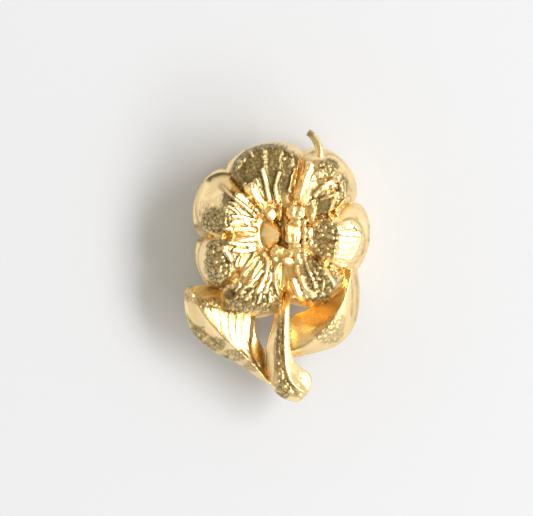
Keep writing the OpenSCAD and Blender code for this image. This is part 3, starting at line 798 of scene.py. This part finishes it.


def curve_place(x, y, stroke):
    """Distance of the points to a stroke's curve, and how far that is to the side towards
    which the ribs lean, as a share."""
    start, middle, end = (np.array(stroke[k:k + 2]) for k in (0, 2, 4))
    t = np.linspace(0, 1, 9)[:, None]
    pull = 2 * middle - (start + end) / 2
    places = (1 - t) ** 2 * start + 2 * t * (1 - t) * pull + t ** 2 * end
    nearest = np.full(x.shape, np.inf)
    side = np.zeros_like(x)
    for a, b in zip(places[:-1], places[1:]):
        d = b - a
        k = np.clip(((x - a[0]) * d[0] + (y - a[1]) * d[1]) / (d @ d), 0, 1)
        off_x, off_y = x - a[0] - k * d[0], y - a[1] - k * d[1]
        far = np.hypot(off_x, off_y)
        towards = (LEAN_TOWARDS[0] * off_x + LEAN_TOWARDS[1] * off_y) / (far + 1e-6)
        side = np.where(far < nearest, towards, side)
        nearest = np.minimum(nearest, far)
    return nearest, side


def stray(x, y):
    """How far the maker's hand strays from a stroke's edge, in mm."""
    return 0.018 * np.sin(x * 9.1 + y * 5.7) + 0.014 * np.sin(x * 17.3 - y * 21.1)


def stroke_heights(x, y, strokes, lean=0.0):
    """How far the ribs stand up and the cut lines go down at the points, and how deep in a
    crease each point lies, 0 to 1, which sets the shade painted there. With a lean, the ribs' tops
    slope down to one side."""
    up, down, crease, inside = (np.zeros_like(x) for _ in range(4))
    for stroke in strokes:
        width, height = stroke.width, stroke.height
        xs, ys = stroke[0:6:2], stroke[1:6:2]
        margin = width + STROKE_MARGIN
        near = np.flatnonzero((x > min(xs) - margin) & (x < max(xs) + margin)
                              & (y > min(ys) - margin) & (y < max(ys) + margin))
        away, side = curve_place(x[near], y[near], stroke)
        away = away + stray(x[near], y[near])
        far = away / (width / 2)
        if height > 0:
            crest = np.maximum(height - lean * side * np.clip(away, 0, width / 2),
                               LEAST_CREST * height)
            body = np.clip(1 - far ** RIB_POWER, 0, 1)
            up[near] = np.maximum(up[near], crest * body)
            inside[near] = np.maximum(inside[near], body)
            line = np.exp(-(np.maximum(away - width / 2, 0) / CREASE_WIDTH) ** 2)
            crease[near] = np.maximum(crease[near], line * min(height / DEEP_CREASE, 1))
        else:
            down[near] = np.minimum(down[near], height * np.clip(1 - far ** 2, 0, 1))
            crease[near] = np.maximum(crease[near], np.exp(-far ** 2))
    return up, down, crease * (1 - ease(inside / 0.5))


def seed_distance(x, y, seed):
    """0 at a seed's peak and 1 at its foot, for points in the plane."""
    turn = math.radians(seed.turn)
    dx, dy = x - seed.x, y - seed.y
    u = (dx * math.cos(turn) + dy * math.sin(turn)) / seed.half_x - seed.lean_x
    v = (dy * math.cos(turn) - dx * math.sin(turn)) / seed.half_y - seed.lean_y
    room = 1 - seed.lean_x ** 2 - seed.lean_y ** 2
    toward = u * seed.lean_x + v * seed.lean_y
    return (toward + np.sqrt(toward ** 2 + room * (u ** 2 + v ** 2))) / room


def seed_height(seed, far):
    return seed.top - seed.rise * far ** seed.dome


# Sizes and colours that a user changes

def length(name, description, millimetres):
    return bpy.props.FloatProperty(name=name, description=description, unit="LENGTH",
                                   precision=5, default=millimetres * MM)


def number(name, description, default):
    return bpy.props.IntProperty(name=name, description=description, default=default, min=3)


def colour(name, description, default):
    return bpy.props.FloatVectorProperty(name=name, description=description, subtype="COLOR",
                                         size=3, default=default, min=0.0, max=1.0)


class BeadCasting(bpy.types.PropertyGroup):
    petal_reach: length("Petal reach", "Reach of a middling petal", 5.1)
    rim_height: length("Rim height", "Height of the front rim above the thread hole's axis", 0.42)
    back_depth: length("Back depth", "Depth of the plain back below the thread hole's axis", 2.35)
    valley_depth: length("Valley depth", "Depth of the valleys between the petals", 0.65)
    valley_power: bpy.props.FloatProperty(
        name="Valley sharpness", description="A higher value makes the back's valleys narrower",
        default=5.0)
    groove_depth: length("Groove depth", "Depth of the parting groove", 0.3)
    front_inset: length("Front inset", "How far the front rim lies inside the back rim", 0.12)
    front_notch: length("Front notch", "How much deeper the front draws in at its valleys", 0.45)
    hole_diameter: length("Hole diameter", "Diameter of the thread hole", 2 * THREAD_HOLE["r_mm"])
    tendril_diameter: length("Tendril diameter", "Thickness that the tendril's own goes by", 0.44)
    rib_strength: bpy.props.FloatProperty(
        name="Rib strength", description="How proud the ribs stand", default=1.35,
        subtype="FACTOR", min=0.0, max=2.0)
    rib_lean: bpy.props.FloatProperty(
        name="Rib lean", description="Slope of the ribs' tops down to the right", default=0.40,
        subtype="FACTOR", min=0.0, max=1.0)
    vein_height: length("Vein height", "Height of the left leaf's veins", 0.022)
    grain_height: length("Grain height", "Height of the cobbles of a sandy casting", 0.075)
    voxel: length("Fusing size", "How finely the wax forms are fused", 0.036)
    columns: number("Columns", "Columns of wax points on each petal", 110)
    face_rings: number("Face rings", "Rings of wax points on the relief face", 130)
    wall_rings: number("Wall rings", "Rings of wax points on the petals' walls", 20)
    back_rings: number("Back rings", "Rings of wax points on the back", 60)
    triangles: number("Triangles", "Most triangles of the finished casting", 190000)


class BeadFinish(bpy.types.PropertyGroup):
    gold: colour("Gold", "Colour of the polished gold plate", (0.98, 0.748, 0.375))
    # The deep gold colour is a painted reflection: the glow of gold reflected in gold in the hollows.
    deep_gold: colour("Deep gold", "Colour of the plate in the hollows", (0.96, 0.65, 0.24))
    # The tarnish colour is painted shade for the deepest hollows and creases.
    tarnish: colour("Tarnish", "Colour of the deepest hollows and creases", (0.42, 0.24, 0.08))
    # The film colour is partly painted shade on the sandy patches.
    film: colour("Film", "Colour of the dull film on the sandy patches", (0.104, 0.080, 0.018))
    roughness: bpy.props.FloatProperty(
        name="Roughness", description="Roughness of the polished plate", default=0.27,
        subtype="FACTOR", min=0.0, max=1.0)


class PaperStage(bpy.types.PropertyGroup):
    paper: colour("Paper", "Colour of the paper", (0.665, 0.69, 0.75))
    key: bpy.props.FloatProperty(
        name="Key light", description="Power of the soft light on the right", default=3.5,
        unit="POWER", min=0.0)
    fill: bpy.props.FloatProperty(
        name="Surroundings", description="Strength of the pale surroundings", default=1.0,
        min=0.0)


# The wax forms

class BEAD_OT_blossom(bpy.types.Operator):
    """Models the blossom in wax: seven plain petals, a groove round them and a plain back"""
    bl_idname = "bead.blossom"
    bl_label = "Blossom"

    def execute(self, context):
        wax_tube("blossom", blossom_rings(in_mm(context.scene.bead_casting)))
        return {"FINISHED"}


class BlossomFace:
    """The relief face of the wax blossom, whose points come first in its mesh."""

    def __init__(self, context):
        blossom = context.scene.objects.get(WAX + "blossom")
        if blossom is None:
            raise RuntimeError("there is no wax blossom")
        self.sizes = in_mm(context.scene.bead_casting)
        self.mesh = blossom.data
        self.co = points(self.mesh)
        self.count = len(PETALS) * self.sizes.columns * self.sizes.face_rings
        self.x, self.y, self.z = self.co[:self.count].T.copy()

    def set_heights(self, z):
        self.co[:self.count, 2] = z
        set_points(self.mesh, self.co)


def unevenness(x, y):
    """Shallow swells and ripples of a surface worked by hand, in mm."""
    swells = 0.008 * np.sin(3.1 * x + 1.3) * np.cos(2.7 * y) + 0.005 * np.sin(7.3 * x - 6.1 * y)
    return swells + 0.006 * np.sin(13.0 * x + 5.0 * y) * np.sin(4.0 * x - 14.0 * y + 1.0)


class BEAD_OT_ribs(bpy.types.Operator):
    """Raises the ribs on the wax petals, sinks the pits and presses some places to one side"""
    bl_idname = "bead.ribs"
    bl_label = "Ribs and pits"

    def execute(self, context):
        face = BlossomFace(context)
        x, y = face.x, face.y
        up, down, _ = stroke_heights(x, y, STROKES, face.sizes.rib_lean)
        lift = up * face.sizes.rib_strength + down
        for px, py, radius, depth, ring in PITS:
            far = spread(x, y, px, py, radius, radius)
            lift += ring * np.exp(-((far - 1.5) / 0.35) ** 2) - depth * np.exp(-far ** 2 * 1.6)
        for px, py, half_x, half_y, slope_x, slope_y, sunk in PRESSED:
            inside = faded(spread(x, y, px, py, half_x, half_y), 1.25, 0.4)
            lift += (slope_x * (x - px) + slope_y * (y - py) - sunk) * inside
        face.set_heights(face.z + lift + unevenness(x, y))
        return {"FINISHED"}


class BEAD_OT_seeds(bpy.types.Operator):
    """Sets the seeds in the middle of the wax blossom and the webs in its valleys"""
    bl_idname = "bead.seeds"
    bl_label = "Seeds"

    def execute(self, context):
        face = BlossomFace(context)
        z = face.z
        for seed in SEEDS + WEBS:
            far = np.clip(seed_distance(face.x, face.y, seed), 0, 1)
            z = np.where(far < 1, np.maximum(z, seed_height(seed, far)), z)
        face.set_heights(z)
        return {"FINISHED"}


class BEAD_OT_leaves(bpy.types.Operator):
    """Models the two leaves in wax, the left one veined and the right one hollow"""
    bl_idname = "bead.leaves"
    bl_label = "Leaves"

    veins = 8            # veins along the left leaf
    vein_slant = 0.7     # how far they slant back on their way from the ridge
    step_down = 0.30     # how far the veined part drops to the web beside the gap, in mm
    web_places = (0, 0.14, 0.29, 0.43, 0.57, 0.70)
    web_lanes = (0, 0, 0.25, 0.78, 0.90, 1.1)

    def execute(self, context):
        height = in_mm(context.scene.bead_casting).vein_height

        def veined(k, u, ridge_z, edge_z):
            turns = self.veins * (u - self.vein_slant * k)
            swing = np.cos(2 * np.pi * turns + 1.2 * np.sin(11 * u))
            vein = height * (1 - 2 * np.clip(-swing, 0, 1) ** 4) * (1 - abs(2 * k - 1) ** 3)
            web = np.interp(u, self.web_places, self.web_lanes)
            low = ease((k - web) / 0.10)
            return mix(ridge_z, edge_z, k ** 1.1) + vein * (1 - low) - self.step_down * low

        def turned_edge(k, u, ridge_z, edge_z):
            return mix(ridge_z, edge_z, 0.6 * k + 0.4 * ease(k / 0.8))

        def hollow(k, u, ridge_z, edge_z):
            return mix(ridge_z, edge_z, 1 - (1 - k) ** 1.25)

        def rolled_edge(k, u, ridge_z, edge_z):
            return mix(ridge_z, edge_z, k ** 1.3)

        wax_tube("left_leaf", sprig_rings(LEFT_LEAF, 170, veined, turned_edge, True))
        wax_tube("right_leaf", sprig_rings(RIGHT_LEAF, 150, hollow, rolled_edge, False))
        return {"FINISHED"}


class BEAD_OT_stem(bpy.types.Operator):
    """Models the stem and its curled foot in wax"""
    bl_idname = "bead.stem"
    bl_label = "Stem"

    foot_from, foot_blend = 0.55, 0.15      # where the foot begins, as shares of the length
    band_drop, band_edge = 0.22, 0.10       # how the left side steps down beside the ridge
    band_until = 0.46                       # lane at which that side begins to fall to the edge
    groove_lane, groove_width, groove_depth = 0.48, 0.03, 0.06

    def execute(self, context):
        def right_side(k, u, ridge_z, edge_z):
            foot = ease((u - self.foot_from) / self.foot_blend)
            narrow = mix(ridge_z, edge_z, 0.5 * ease(k / 0.45) + 0.5 * k ** 1.5)
            return mix(mix(ridge_z, edge_z, k ** 1.5), narrow, foot)

        def left_side(k, u, ridge_z, edge_z):
            band = ridge_z - self.band_drop * ease(k / self.band_edge)
            off = (k - self.groove_lane) / self.groove_width
            fall = max(k - self.band_until, 0) / (1 - self.band_until)
            return mix(band, edge_z, fall) - self.groove_depth * math.exp(-off ** 2)

        wax_tube("stem", sprig_rings(STEM, 170, right_side, left_side, False))
        return {"FINISHED"}


class BEAD_OT_tendril(bpy.types.Operator):
    """Draws the tendril at the upper right, in wax"""
    bl_idname = "bead.tendril"
    bl_label = "Tendril"

    def execute(self, context):
        wax_tube("tendril", tendril_rings(in_mm(context.scene.bead_casting).tendril_diameter))
        return {"FINISHED"}


# The casting

def fuse(pieces, voxel):
    """Joins the wax forms into one closed casting."""
    verts, faces = [], []
    for piece in pieces:
        first = len(verts)
        verts.extend(points(piece.data).tolist())
        faces.extend([tuple(first + v for v in p.vertices) for p in piece.data.polygons])
        discard(piece)
    casting = new_object("flower_bead_casting", new_mesh("flower_bead_casting", verts, faces))
    remesh = casting.modifiers.new("fuse", "REMESH")
    remesh.mode = "VOXEL"
    remesh.voxel_size = voxel
    remesh.adaptivity = 0.0
    apply_modifiers(casting)
    return casting


def soften(mesh, keep):
    """Relaxes the mesh a little, as polishing does. keep is the share that stays in place."""
    co = points(mesh)
    set_points(mesh, mix(neighbour_mean(mesh, co), co, keep))


def cobbles(co, size, seed):
    """Distances to the nearest two cobbles, in cobble sizes, and the nearest cobble's own
    random value, for each point seen from the front. The seed fixes where the cobbles lie."""
    cell = np.floor(co[:, :2] / size).astype(np.int64)
    nearest, second = np.full(len(co), np.inf), np.full(len(co), np.inf)
    own = np.zeros(len(co))
    for step in np.ndindex(3, 3):
        at = cell + np.array(step) - 1
        mark = np.sin(at[:, 0] * 127.1 + at[:, 1] * 311.7 + seed) * 43758.5453
        jitter = np.column_stack([mark % 1.0, (mark * 7.31) % 1.0])
        far = np.linalg.norm((at + jitter) - co[:, :2] / size, axis=1)
        closer = far < nearest
        second = np.where(closer, nearest, np.minimum(second, far))
        nearest = np.where(closer, far, nearest)
        own = np.where(closer, (mark * 3.17) % 1.0, own)
    return nearest, second, own


PETAL_FOOT = 1.72         # height round the seeds, in mm
CUP = (0.05, -0.10)       # middle of the blossom's hollow
CUP_RADIUS = 1.25


def seed_gaps(x, y):
    """How deep in a gap between the seeds each point lies, which sets the shade painted there, and 1 on
    the seeds and webs.
    """
    first, second = np.zeros_like(x), np.zeros_like(x)
    for seed in SEEDS + WEBS:
        far = seed_distance(x, y, seed)
        top = np.where(far < 1, seed_height(seed, far), 0.0)
        second = np.maximum(np.minimum(top, first), second)
        first = np.maximum(first, top)
    second = np.maximum(second, PETAL_FOOT)
    cup = faded(spread(x, y, *CUP, CUP_RADIUS, CUP_RADIUS), 1.5, 0.2)
    return 0.5 * cup * (1 - ease((first - second) / 0.06)), ease((first - PETAL_FOOT) / 0.1)


FRONT_SLOPE = 0.10       # least upward part of the normal on the front
BLOSSOM_END = -4.6       # where the blossom ends and the leaves and the stem begin, in mm
SHADOWED_CUT = -0.2     # a chased line deeper than this is painted dark with film all along, as shadow
RIB_POLISH = 0.85        # share of the film that polishing took off the ribs
SEED_POLISH = 0.8        # share of the film that polishing took off the seeds


def sandiness(co, no):
    """How much dull film each point has, how tall its cobbles are, and how deep in a crease
    it lies, 0 to 1. The film is partly painted shade on the faces that look up, and shade is
    painted in the creases. Polishing has cleaned the ribs, the seeds and the steep walls."""
    x, y = co[:, 0], co[:, 1]
    ragged = 0.10 * np.sin(9.0 * x + 4.0 * y) * np.sin(8.0 * y - 5.0 * x)
    ragged += 0.06 * np.sin(21 * x - 17 * y)
    sand, tall = np.zeros(len(co)), np.zeros(len(co))
    for px, py, half_x, half_y, film, height in SAND:
        inside = faded(spread(x, y, px, py, half_x, half_y) + ragged, 1.15, 0.25)
        sand = np.maximum(sand, film * inside)
        tall = np.maximum(tall, height * inside)
    front = (no[:, 2] > FRONT_SLOPE) * (co[:, 2] > 0)
    face = (y > BLOSSOM_END) * front
    up, _, crease = stroke_heights(x, y, STROKES)
    gaps, seeds = seed_gaps(x, y)
    clean = 1 - RIB_POLISH * ease((up - 0.05) / 0.05) * face
    clean *= ease((no[:, 2] - FRONT_SLOPE) / 0.25) * front
    crease = np.maximum(crease, gaps) * face
    lines = stroke_heights(x, y, LINES)[2]
    # The deepest chased lines get full film, as painted shadow.
    deep = stroke_heights(x, y, [line for line in LINES if line.height < SHADOWED_CUT])[2]
    sand = np.maximum(sand * clean * (1 - SEED_POLISH * seeds * face), deep * front)
    return sand, tall * clean, np.maximum(crease, lines * front)


COBBLE = 0.22            # size of the larger cobbles, in mm; the smaller are half as large
SMALL_HEIGHT = 0.2       # height of the smaller ones, as a share of the larger ones'
SMOOTH_GRAIN = 0.04      # grain left on polished gold, as a share of that on the sandiest
NUGGET_HEIGHT = 0.75     # how far a nugget stands out, as a share of its radius
TOPS_CLEARED = 0.52        # share of the film taken off the cobbles' tops, partly wear and partly a painted highlight, leaving painted shade in the gaps


def add_grain(mesh, height):
    """Chases the lines, raises the nuggets and the small cobbles of a sandy casting where
    polishing missed, and stores how much of the dull film, which is partly painted shade, and of the
    shade painted in the creases stays."""
    co, no = points(mesh), normals(mesh)
    x, y = co[:, 0], co[:, 1]
    sand, tall, crease = sandiness(co, no)
    nearest, second, own = cobbles(co, COBBLE, 11)
    gap = 1 - ease((second - nearest - 0.02) / 0.30)
    lift = height * np.clip(1 - (nearest / 0.72) ** 2, 0, 1) * (0.45 + 0.7 * own)
    nearest, _, own = cobbles(co, COBBLE / 2, 23)
    lift += SMALL_HEIGHT * height * np.clip(1 - (nearest / 0.7) ** 2, 0, 1) * own
    lift *= SMOOTH_GRAIN + tall
    front = (no[:, 2] > 0.15) * (co[:, 2] > 0)
    lift += stroke_heights(x, y, LINES)[1] * front
    nugget = np.zeros(len(co))
    for px, py, radius in NUGGETS:
        far = spread(x, y, px, py, radius, radius)
        nugget = np.maximum(nugget, radius * np.sqrt(np.clip(1 - far ** 2, 0, 1)))
    nugget *= front
    lift = np.maximum(lift, NUGGET_HEIGHT * nugget)
    set_points(mesh, co + no * lift[:, None])
    # Nuggets keep less film and crease shade, and the cobbles' tops less film, than the gaps round
    # them, which hold painted shade.
    clean = 1 - 0.5 * ease(nugget / 0.10)
    cleared_tops = TOPS_CLEARED * np.minimum(1.5 * tall, 1) * (1 - gap)
    mottled = 0.84 + 0.22 * own * (sand > 0.5)
    store(mesh, "sand", sand * mottled * (1 - cleared_tops) * clean)
    store(mesh, "crease", crease * clean)


DRILL_HALF, DRILL_SIDES = 9.0, 64


def drill(casting, diameter):
    """Drills the thread hole along X."""
    n = DRILL_SIDES
    t = np.linspace(0, 2 * math.pi, n, endpoint=False)
    ring = np.column_stack([np.zeros(n), np.cos(t), np.sin(t)]) * diameter / 2
    verts = np.concatenate([ring - [DRILL_HALF, 0, 0], ring + [DRILL_HALF, 0, 0]])
    sides = [(k, (k + 1) % n, n + (k + 1) % n, n + k) for k in range(n)]
    ends = [tuple(range(n - 1, -1, -1)), tuple(range(n, 2 * n))]
    tool = new_object("drill", new_mesh("drill", verts.tolist(), sides + ends))
    cut = casting.modifiers.new("thread_hole", "BOOLEAN")
    cut.operation = "DIFFERENCE"
    cut.solver = "MANIFOLD"
    cut.object = tool
    apply_modifiers(casting)
    discard(tool)


HOLLOW_ROUNDS = 10       # a higher number finds wider hollows
FULL_HOLLOW = 0.13       # depth of a hollow that is painted fully with shade, in mm
CUP_GLOW = 0.19        # how much redder the gold is painted among the seeds, for the glow of gold reflected in gold
CUP_FLOOR = 1.2          # height above which it is, in mm


def mark_hollows(mesh):
    """Stores how hollow or red the surface is painted at each point, 0.5 where it is flat and plain.
    The higher this is, the more the plate turns to a painted glow of gold reflected in gold, and then
    to painted shade.
    """
    co, no = points(mesh), normals(mesh)
    x, y, z = co.T
    smooth = co
    for _ in range(HOLLOW_ROUNDS):
        smooth = neighbour_mean(mesh, smooth)
    depth = ((smooth - co) * no).sum(axis=1)
    for _ in range(2):
        depth = neighbour_mean(mesh, depth)
    glow_share = CUP_GLOW * np.exp(-spread(x, y, 0.1, -0.1, 1.5, 1.5) ** 4) * (z > CUP_FLOOR)
    for px, py, half_x, half_y, more in GLOW_HOLLOWS:
        inside = faded(spread(x, y, px, py, half_x, half_y), 1.2, 0.5)
        glow_share = np.maximum(glow_share, more * inside * (z > 0))
    hollow = np.maximum(depth / FULL_HOLLOW + 0.6 * glow_share, glow_share)
    store(mesh, "hollow", np.clip(0.5 + hollow, 0, 1))


def thin_out(piece, triangles):
    """Brings the piece down to so many triangles."""
    count = sum(len(p.vertices) - 2 for p in piece.data.polygons)
    if count > triangles:
        thin = piece.modifiers.new("thin", "DECIMATE")
        thin.ratio = triangles / count
        apply_modifiers(piece)


class BEAD_OT_cast(bpy.types.Operator):
    """Fuses the wax forms, grains and drills the casting, and plates it with gold"""
    bl_idname = "bead.cast"
    bl_label = "Cast and plate"

    def execute(self, context):
        sizes = in_mm(context.scene.bead_casting)
        pieces = [piece for piece in context.scene.objects if piece.name.startswith(WAX)]
        if not pieces:
            raise RuntimeError("there is no wax to cast")
        casting = fuse(pieces, sizes.voxel)
        soften(casting.data, 0.5)
        add_grain(casting.data, sizes.grain_height)
        soften(casting.data, 0.7)
        drill(casting, sizes.hole_diameter)
        mark_hollows(casting.data)
        thin_out(casting, sizes.triangles)
        mesh = casting.data
        mesh.transform(Matrix.Scale(MM, 4))
        mesh.shade_smooth()
        mesh.materials.clear()
        mesh.materials.append(gold_plate(context.scene.bead_finish))
        mesh.update()
        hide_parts("flower_bead")
        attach(casting, "root")
        return {"FINISHED"}


# The finishes

def node(tree, kind, place, **values):
    made = tree.nodes.new(kind)
    made.location = place
    for key, value in values.items():
        setattr(made, key, value)
    return made


def feed(tree, socket, value):
    """Links the output of another node to the socket, or sets the socket to a constant."""
    if isinstance(value, bpy.types.NodeSocket):
        tree.links.new(value, socket)
    else:
        socket.default_value = value


def ramp(tree, place, stops, source):
    made = node(tree, "ShaderNodeValToRGB", place)
    elements = made.color_ramp.elements
    while len(elements) < len(stops):
        elements.new(0.5)
    for element, (position, tone) in zip(elements, stops):
        element.position = position
        element.color = (*tone, 1.0)
    tree.links.new(source, made.inputs["Fac"])
    return made.outputs["Color"]


def blend(tree, place, factor, first, second, kind="MIX"):
    made = node(tree, "ShaderNodeMix", place, data_type="RGBA", blend_type=kind)
    for name, value in (("Factor", factor), ("A", first), ("B", second)):
        feed(tree, made.inputs[name], value)
    return made.outputs["Result"]


def calculate(tree, place, operation, *values):
    made = node(tree, "ShaderNodeMath", place, operation=operation)
    for socket, value in zip(made.inputs, values):
        feed(tree, socket, value)
    return made.outputs["Value"]


def noise(tree, place, scale, detail):
    """Noise that keeps its place on the object."""
    where = node(tree, "ShaderNodeTexCoord", (place[0] - 200, place[1]))
    made = node(tree, "ShaderNodeTexNoise", place)
    made.inputs["Scale"].default_value = scale
    made.inputs["Detail"].default_value = detail
    tree.links.new(where.outputs["Object"], made.inputs["Vector"])
    return made.outputs["Fac"]


def bump(tree, place, height, strength, distance):
    made = node(tree, "ShaderNodeBump", place)
    made.inputs["Strength"].default_value = strength
    made.inputs["Distance"].default_value = distance
    tree.links.new(height, made.inputs["Height"])
    return made.outputs["Normal"]


def new_material(name):
    """A new material of one shader, its node tree and the shader's inputs."""
    material = bpy.data.materials.new(name)
    material.use_nodes = True
    tree = material.node_tree
    tree.nodes.clear()
    out = node(tree, "ShaderNodeOutputMaterial", (900, 0))
    shader = node(tree, "ShaderNodeBsdfPrincipled", (600, 0))
    tree.links.new(shader.outputs["BSDF"], out.inputs["Surface"])
    return material, tree, shader.inputs


def gold_plate(finish):
    """Polished gold plate over a sandy casting, with a dull film in its pits that is partly painted
    shade, and with reflected glow and shade painted into its hollows and creases.
    """
    material, tree, inputs = new_material("gold_plate")
    inputs["Metallic"].default_value = 1.0
    inputs["Coat Weight"].default_value = 0.5
    inputs["Coat Roughness"].default_value = 0.15
    hollow, sand, crease = (
        node(tree, "ShaderNodeAttribute", (-900, height), attribute_name=name).outputs["Fac"]
        for name, height in (("hollow", 300), ("sand", 500), ("crease", 700)))
    # Painted reflected glow and then painted shade, the deeper the hollow.
    plate = ramp(tree, (-500, 300), [
        (0.50, finish.gold),
        (0.68, finish.deep_gold),
        (0.92, finish.tarnish),
        (1.00, [0.6 * part for part in finish.tarnish]),
    ], hollow)
    # Painted shade in the creases.
    shade_in_creases = calculate(tree, (-600, 700), "MULTIPLY", crease, 0.70)
    plate = blend(tree, (-300, 600), shade_in_creases, plate, (*finish.tarnish, 1.0))
    # The dark film, partly painted shade.
    plate = blend(tree, (-100, 500), sand, plate, (*finish.film, 1.0))
    patches = noise(tree, (-700, -100), 900.0, 4.0)
    shade = ramp(tree, (-450, 0), [(0.3, (0.90, 0.88, 0.84)), (0.7, (1.0, 1.0, 1.0))], patches)
    feed(tree, inputs["Base Color"], blend(tree, (100, 300), 1.0, plate, shade, "MULTIPLY"))
    rough = node(tree, "ShaderNodeMapRange", (-100, -100))
    for name, value in (("Value", patches), ("From Min", 0.3), ("From Max", 0.7),
                        ("To Min", finish.roughness - 0.06), ("To Max", finish.roughness + 0.08)):
        feed(tree, rough.inputs[name], value)
    dull = calculate(tree, (150, -50), "MULTIPLY_ADD", sand, 0.24, rough.outputs["Result"])
    feed(tree, inputs["Roughness"], dull)
    feed(tree, inputs["Normal"], bump(tree, (200, -300), noise(tree, (-700, -400), 9000.0, 3.0),
                                      strength=0.35, distance=0.00003))
    return material


def white_paper(stage):
    """Matt white paper with a faint tooth."""
    material, tree, inputs = new_material("white_paper")
    inputs["Base Color"].default_value = (*stage.paper, 1.0)
    inputs["Roughness"].default_value = 0.9
    inputs["Specular IOR Level"].default_value = 0.1
    feed(tree, inputs["Normal"], bump(tree, (200, -200), noise(tree, (-100, -200), 2500.0, 4.0),
                                      strength=0.15, distance=0.00002))
    return material


# The stage, in metres

PAPER_HALF = 0.6
LIGHT_HEIGHT = 0.18                      # of both lights' bright faces
LIGHT_COLOUR = (1.0, 0.98, 0.955)
KEY_PLACE, KEY_WIDTH = (0.45, 0.03, 0.42), 0.50
STRIP_PLACE, STRIP_WIDTH = (0.45, -0.42, 0.42), 0.42
STRIP_SHARE = 0.38                       # power of the strip, as a share of the key light's

# The tent's colours, from straight below to straight above. The camera looks in at the top.
TENT = [
    (0.00, (1.16, 1.18, 1.26)),
    (0.30, (1.14, 1.16, 1.22)),
    (0.45, (0.82, 0.82, 0.82)),
    (0.60, (0.42, 0.40, 0.36)),
    (0.78, (0.42, 0.38, 0.27)),
    (0.88, (0.61, 0.53, 0.36)),
    (1.00, (0.72, 0.62, 0.41)),
]

CAMERA_HEIGHT = 0.2
CAMERA_OFF = (-0.843 * MM, -1.453 * MM)  # the middle of the picture, seen from the thread hole
PICTURE_WIDTH = 533 / 17.2 * MM
SENSOR_MM = 36.0


def soft_light(name, place, width, power):
    """A long soft light that shines on the bead."""
    light = bpy.data.lights.new(name, "AREA")
    light.shape = "RECTANGLE"
    light.size = width
    light.size_y = LIGHT_HEIGHT
    light.energy = power
    light.color = LIGHT_COLOUR
    lamp = new_object(name, light)
    lamp.location = place
    lamp.rotation_euler = (-Vector(place)).to_track_quat("-Z", "Y").to_euler()
    lamp.visible_camera = False


def pale_surroundings(strength):
    """A pale tent round the table, open and dark overhead where the camera looks in."""
    world = bpy.data.worlds.new("light_tent")
    world.use_nodes = True
    tree = world.node_tree
    tree.nodes.clear()
    out = node(tree, "ShaderNodeOutputWorld", (600, 0))
    glow = node(tree, "ShaderNodeBackground", (400, 0))
    glow.inputs["Strength"].default_value = strength
    place = node(tree, "ShaderNodeTexCoord", (-600, 0))
    parts = node(tree, "ShaderNodeSeparateXYZ", (-400, 0))
    tree.links.new(place.outputs["Generated"], parts.inputs["Vector"])
    tree.links.new(ramp(tree, (-100, 0), TENT, parts.outputs["Z"]), glow.inputs["Color"])
    tree.links.new(glow.outputs["Background"], out.inputs["Surface"])
    bpy.context.scene.world = world


def camera_above():
    """The camera straight above the bead, as wide as the picture at the height of the hole."""
    camera = bpy.data.cameras.new("camera")
    camera.sensor_width = SENSOR_MM
    camera.lens = SENSOR_MM * CAMERA_HEIGHT / PICTURE_WIDTH
    camera.clip_start = 0.01
    camera.clip_end = 5.0
    eye = new_object("camera", camera)
    eye.location = (*CAMERA_OFF, CAMERA_HEIGHT)
    return eye


class BEAD_OT_stage(bpy.types.Operator):
    """Lays the paper, sets the soft light and the camera straight above the bead"""
    bl_idname = "bead.stage"
    bl_label = "Paper, light and camera"

    def execute(self, context):
        stage = context.scene.paper_stage
        half = PAPER_HALF
        corners = [(-half, -half, 0), (half, -half, 0), (half, half, 0), (-half, half, 0)]
        paper = new_object("paper", new_mesh("paper", corners, [(0, 1, 2, 3)]))
        paper.data.materials.append(white_paper(stage))
        paper.location = (0, 0, CAD_BOX[0][2])
        soft_light("key", KEY_PLACE, KEY_WIDTH, stage.key)
        soft_light("strip", STRIP_PLACE, STRIP_WIDTH, STRIP_SHARE * stage.key)
        pale_surroundings(stage.fill)
        context.scene.camera = camera_above()
        context.scene.view_settings.view_transform = "Standard"
        return {"FINISHED"}


class BEAD_PT_panel(bpy.types.Panel):
    """Sizes, finish and steps of the flower bead"""
    bl_idname = "BEAD_PT_panel"
    bl_label = "Flower bead"
    bl_space_type = "VIEW_3D"
    bl_region_type = "UI"
    bl_category = "Flower bead"

    def draw(self, context):
        for group in ("bead_casting", "bead_finish", "paper_stage"):
            box = self.layout.box()
            settings = getattr(context.scene, group)
            for name in settings.__annotations__:
                box.prop(settings, name)
        for step in STEPS:
            self.layout.operator(step.bl_idname)


STEPS = (BEAD_OT_blossom, BEAD_OT_ribs, BEAD_OT_seeds, BEAD_OT_leaves, BEAD_OT_stem,
         BEAD_OT_tendril, BEAD_OT_cast, BEAD_OT_stage)
CLASSES = (BeadCasting, BeadFinish, PaperStage) + STEPS + (BEAD_PT_panel,)


def register():
    for made in CLASSES:
        bpy.utils.register_class(made)
    bpy.types.Scene.bead_casting = bpy.props.PointerProperty(type=BeadCasting)
    bpy.types.Scene.bead_finish = bpy.props.PointerProperty(type=BeadFinish)
    bpy.types.Scene.paper_stage = bpy.props.PointerProperty(type=PaperStage)


def unregister():
    del bpy.types.Scene.bead_casting
    del bpy.types.Scene.bead_finish
    del bpy.types.Scene.paper_stage
    for made in reversed(CLASSES):
        bpy.utils.unregister_class(made)


def main():
    register()
    bpy.ops.bead.blossom()
    bpy.ops.bead.ribs()
    bpy.ops.bead.seeds()
    bpy.ops.bead.leaves()
    bpy.ops.bead.stem()
    bpy.ops.bead.tendril()
    bpy.ops.bead.cast()
    bpy.ops.bead.stage()


if __name__ == "__main__":
    main()
